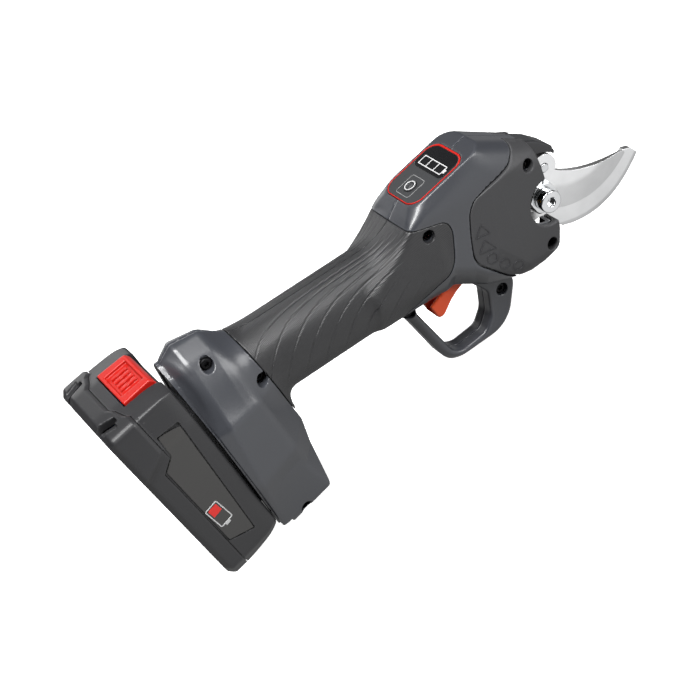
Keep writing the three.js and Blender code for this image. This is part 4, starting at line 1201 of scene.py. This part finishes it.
# Each light's place, its width and height, and its power in watts.
LIGHTS = {
    "overhead": ((0.12, -0.3, 0.85), (0.9, 0.2), 17),
    "fill": ((0.95, -0.75, 0.35), (0.5, 0.5), 7),
    "far_side": ((0.1, 0.9, 0.25), (0.6, 0.4), 2),
}
CAMERA_PLACE = (0.0142, -0.7601, 0.5675)
CAMERA_RIGHT = (0.721, -0.490, -0.489)
CAMERA_BACK = (-0.118, -0.783, 0.611)
CAMERA_LENS = 92.57


def build_stage():
    floor = bpy.data.meshes.new("floor")
    reach = FLOOR_REACH
    corners = [(-reach, -reach, 0), (reach, -reach, 0), (reach, reach, 0), (-reach, reach, 0)]
    floor.from_pydata(corners, [], [(0, 1, 2, 3)])
    thing = bpy.data.objects.new("floor", floor)
    thing.location = (0, 0, cad_box[0].z - FLOOR_DROP)
    bpy.context.collection.objects.link(thing)
    n = Nodes("pale_floor")
    path = n.add("ShaderNodeLightPath").outputs
    seen, mirrored = path["Is Camera Ray"], path["Is Glossy Ray"]
    spot = n.add("ShaderNodeTexCoord").outputs["Object"]
    across = n.add("ShaderNodeSeparateXYZ", {"Vector": spot}).outputs["Y"]
    bright = n.spread(across, 0.86, 0.1, -0.12, 0.02)
    lit = n.maths("MULTIPLY", seen, FLOOR_BRIGHTNESS)
    glow = n.maths("ADD", lit, n.maths("MULTIPLY", mirrored, bright))
    n.feed(n.shader, "Base Color", n.mix(seen, shade((0.05, 0.05, 0.05), 1), shade((0.9, 0.9, 0.9), 1)))
    n.feed(n.shader, "Roughness", 0.9)
    n.feed(n.shader, "Specular IOR Level", 0.0)
    n.feed(n.shader, "Emission Color", (1, 1, 1, 1))
    n.feed(n.shader, "Emission Strength", n.maths("ADD", glow, FLOOR_GLOW))
    floor.materials.append(n.material)


def area_light(name, place, size, power):
    data = bpy.data.lights.new(name, "AREA")
    data.shape = "RECTANGLE"
    data.size, data.size_y = size
    data.energy = power
    thing = bpy.data.objects.new(name, data)
    thing.location = place
    thing.rotation_mode = "QUATERNION"
    thing.rotation_quaternion = (Vector(LIGHT_TARGET) - Vector(place)).to_track_quat("-Z", "Y")
    bpy.context.collection.objects.link(thing)


def build_lights():
    n = Nodes("studio", world=True)
    way = n.add("ShaderNodeTexCoord").outputs["Generated"]
    height = n.add("ShaderNodeSeparateXYZ", {"Vector": way}).outputs["Z"]
    sky = n.spread(height, 0.05, 0.7, 0.62, 1.0)
    seen = n.add("ShaderNodeLightPath").outputs["Is Camera Ray"]
    n.feed(n.shader, "Color", (1, 1, 1, 1))
    n.feed(n.shader, "Strength", n.maths("MAXIMUM", sky, seen))
    bpy.context.scene.world = n.material
    for name, (place, size, power) in LIGHTS.items():
        area_light(name, place, size, power)


def build_camera():
    bpy.context.scene.view_settings.view_transform = "Standard"
    data = bpy.data.cameras.new("camera")
    data.sensor_width = 36
    data.lens = CAMERA_LENS
    data.clip_start, data.clip_end = 0.01, 50
    camera = bpy.data.objects.new("camera", data)
    right = Vector(CAMERA_RIGHT).normalized()
    back = Vector(CAMERA_BACK).normalized()
    up = back.cross(right).normalized()
    right = up.cross(back)
    turn = Matrix((right, up, back)).transposed().to_4x4()
    camera.matrix_world = Matrix.Translation(CAMERA_PLACE) @ turn
    bpy.context.collection.objects.link(camera)
    bpy.context.scene.camera = camera


dress_frame()
build_handle()
build_screws()
build_head()
build_cutters()
build_battery()
build_stage()
build_lights()
build_camera()
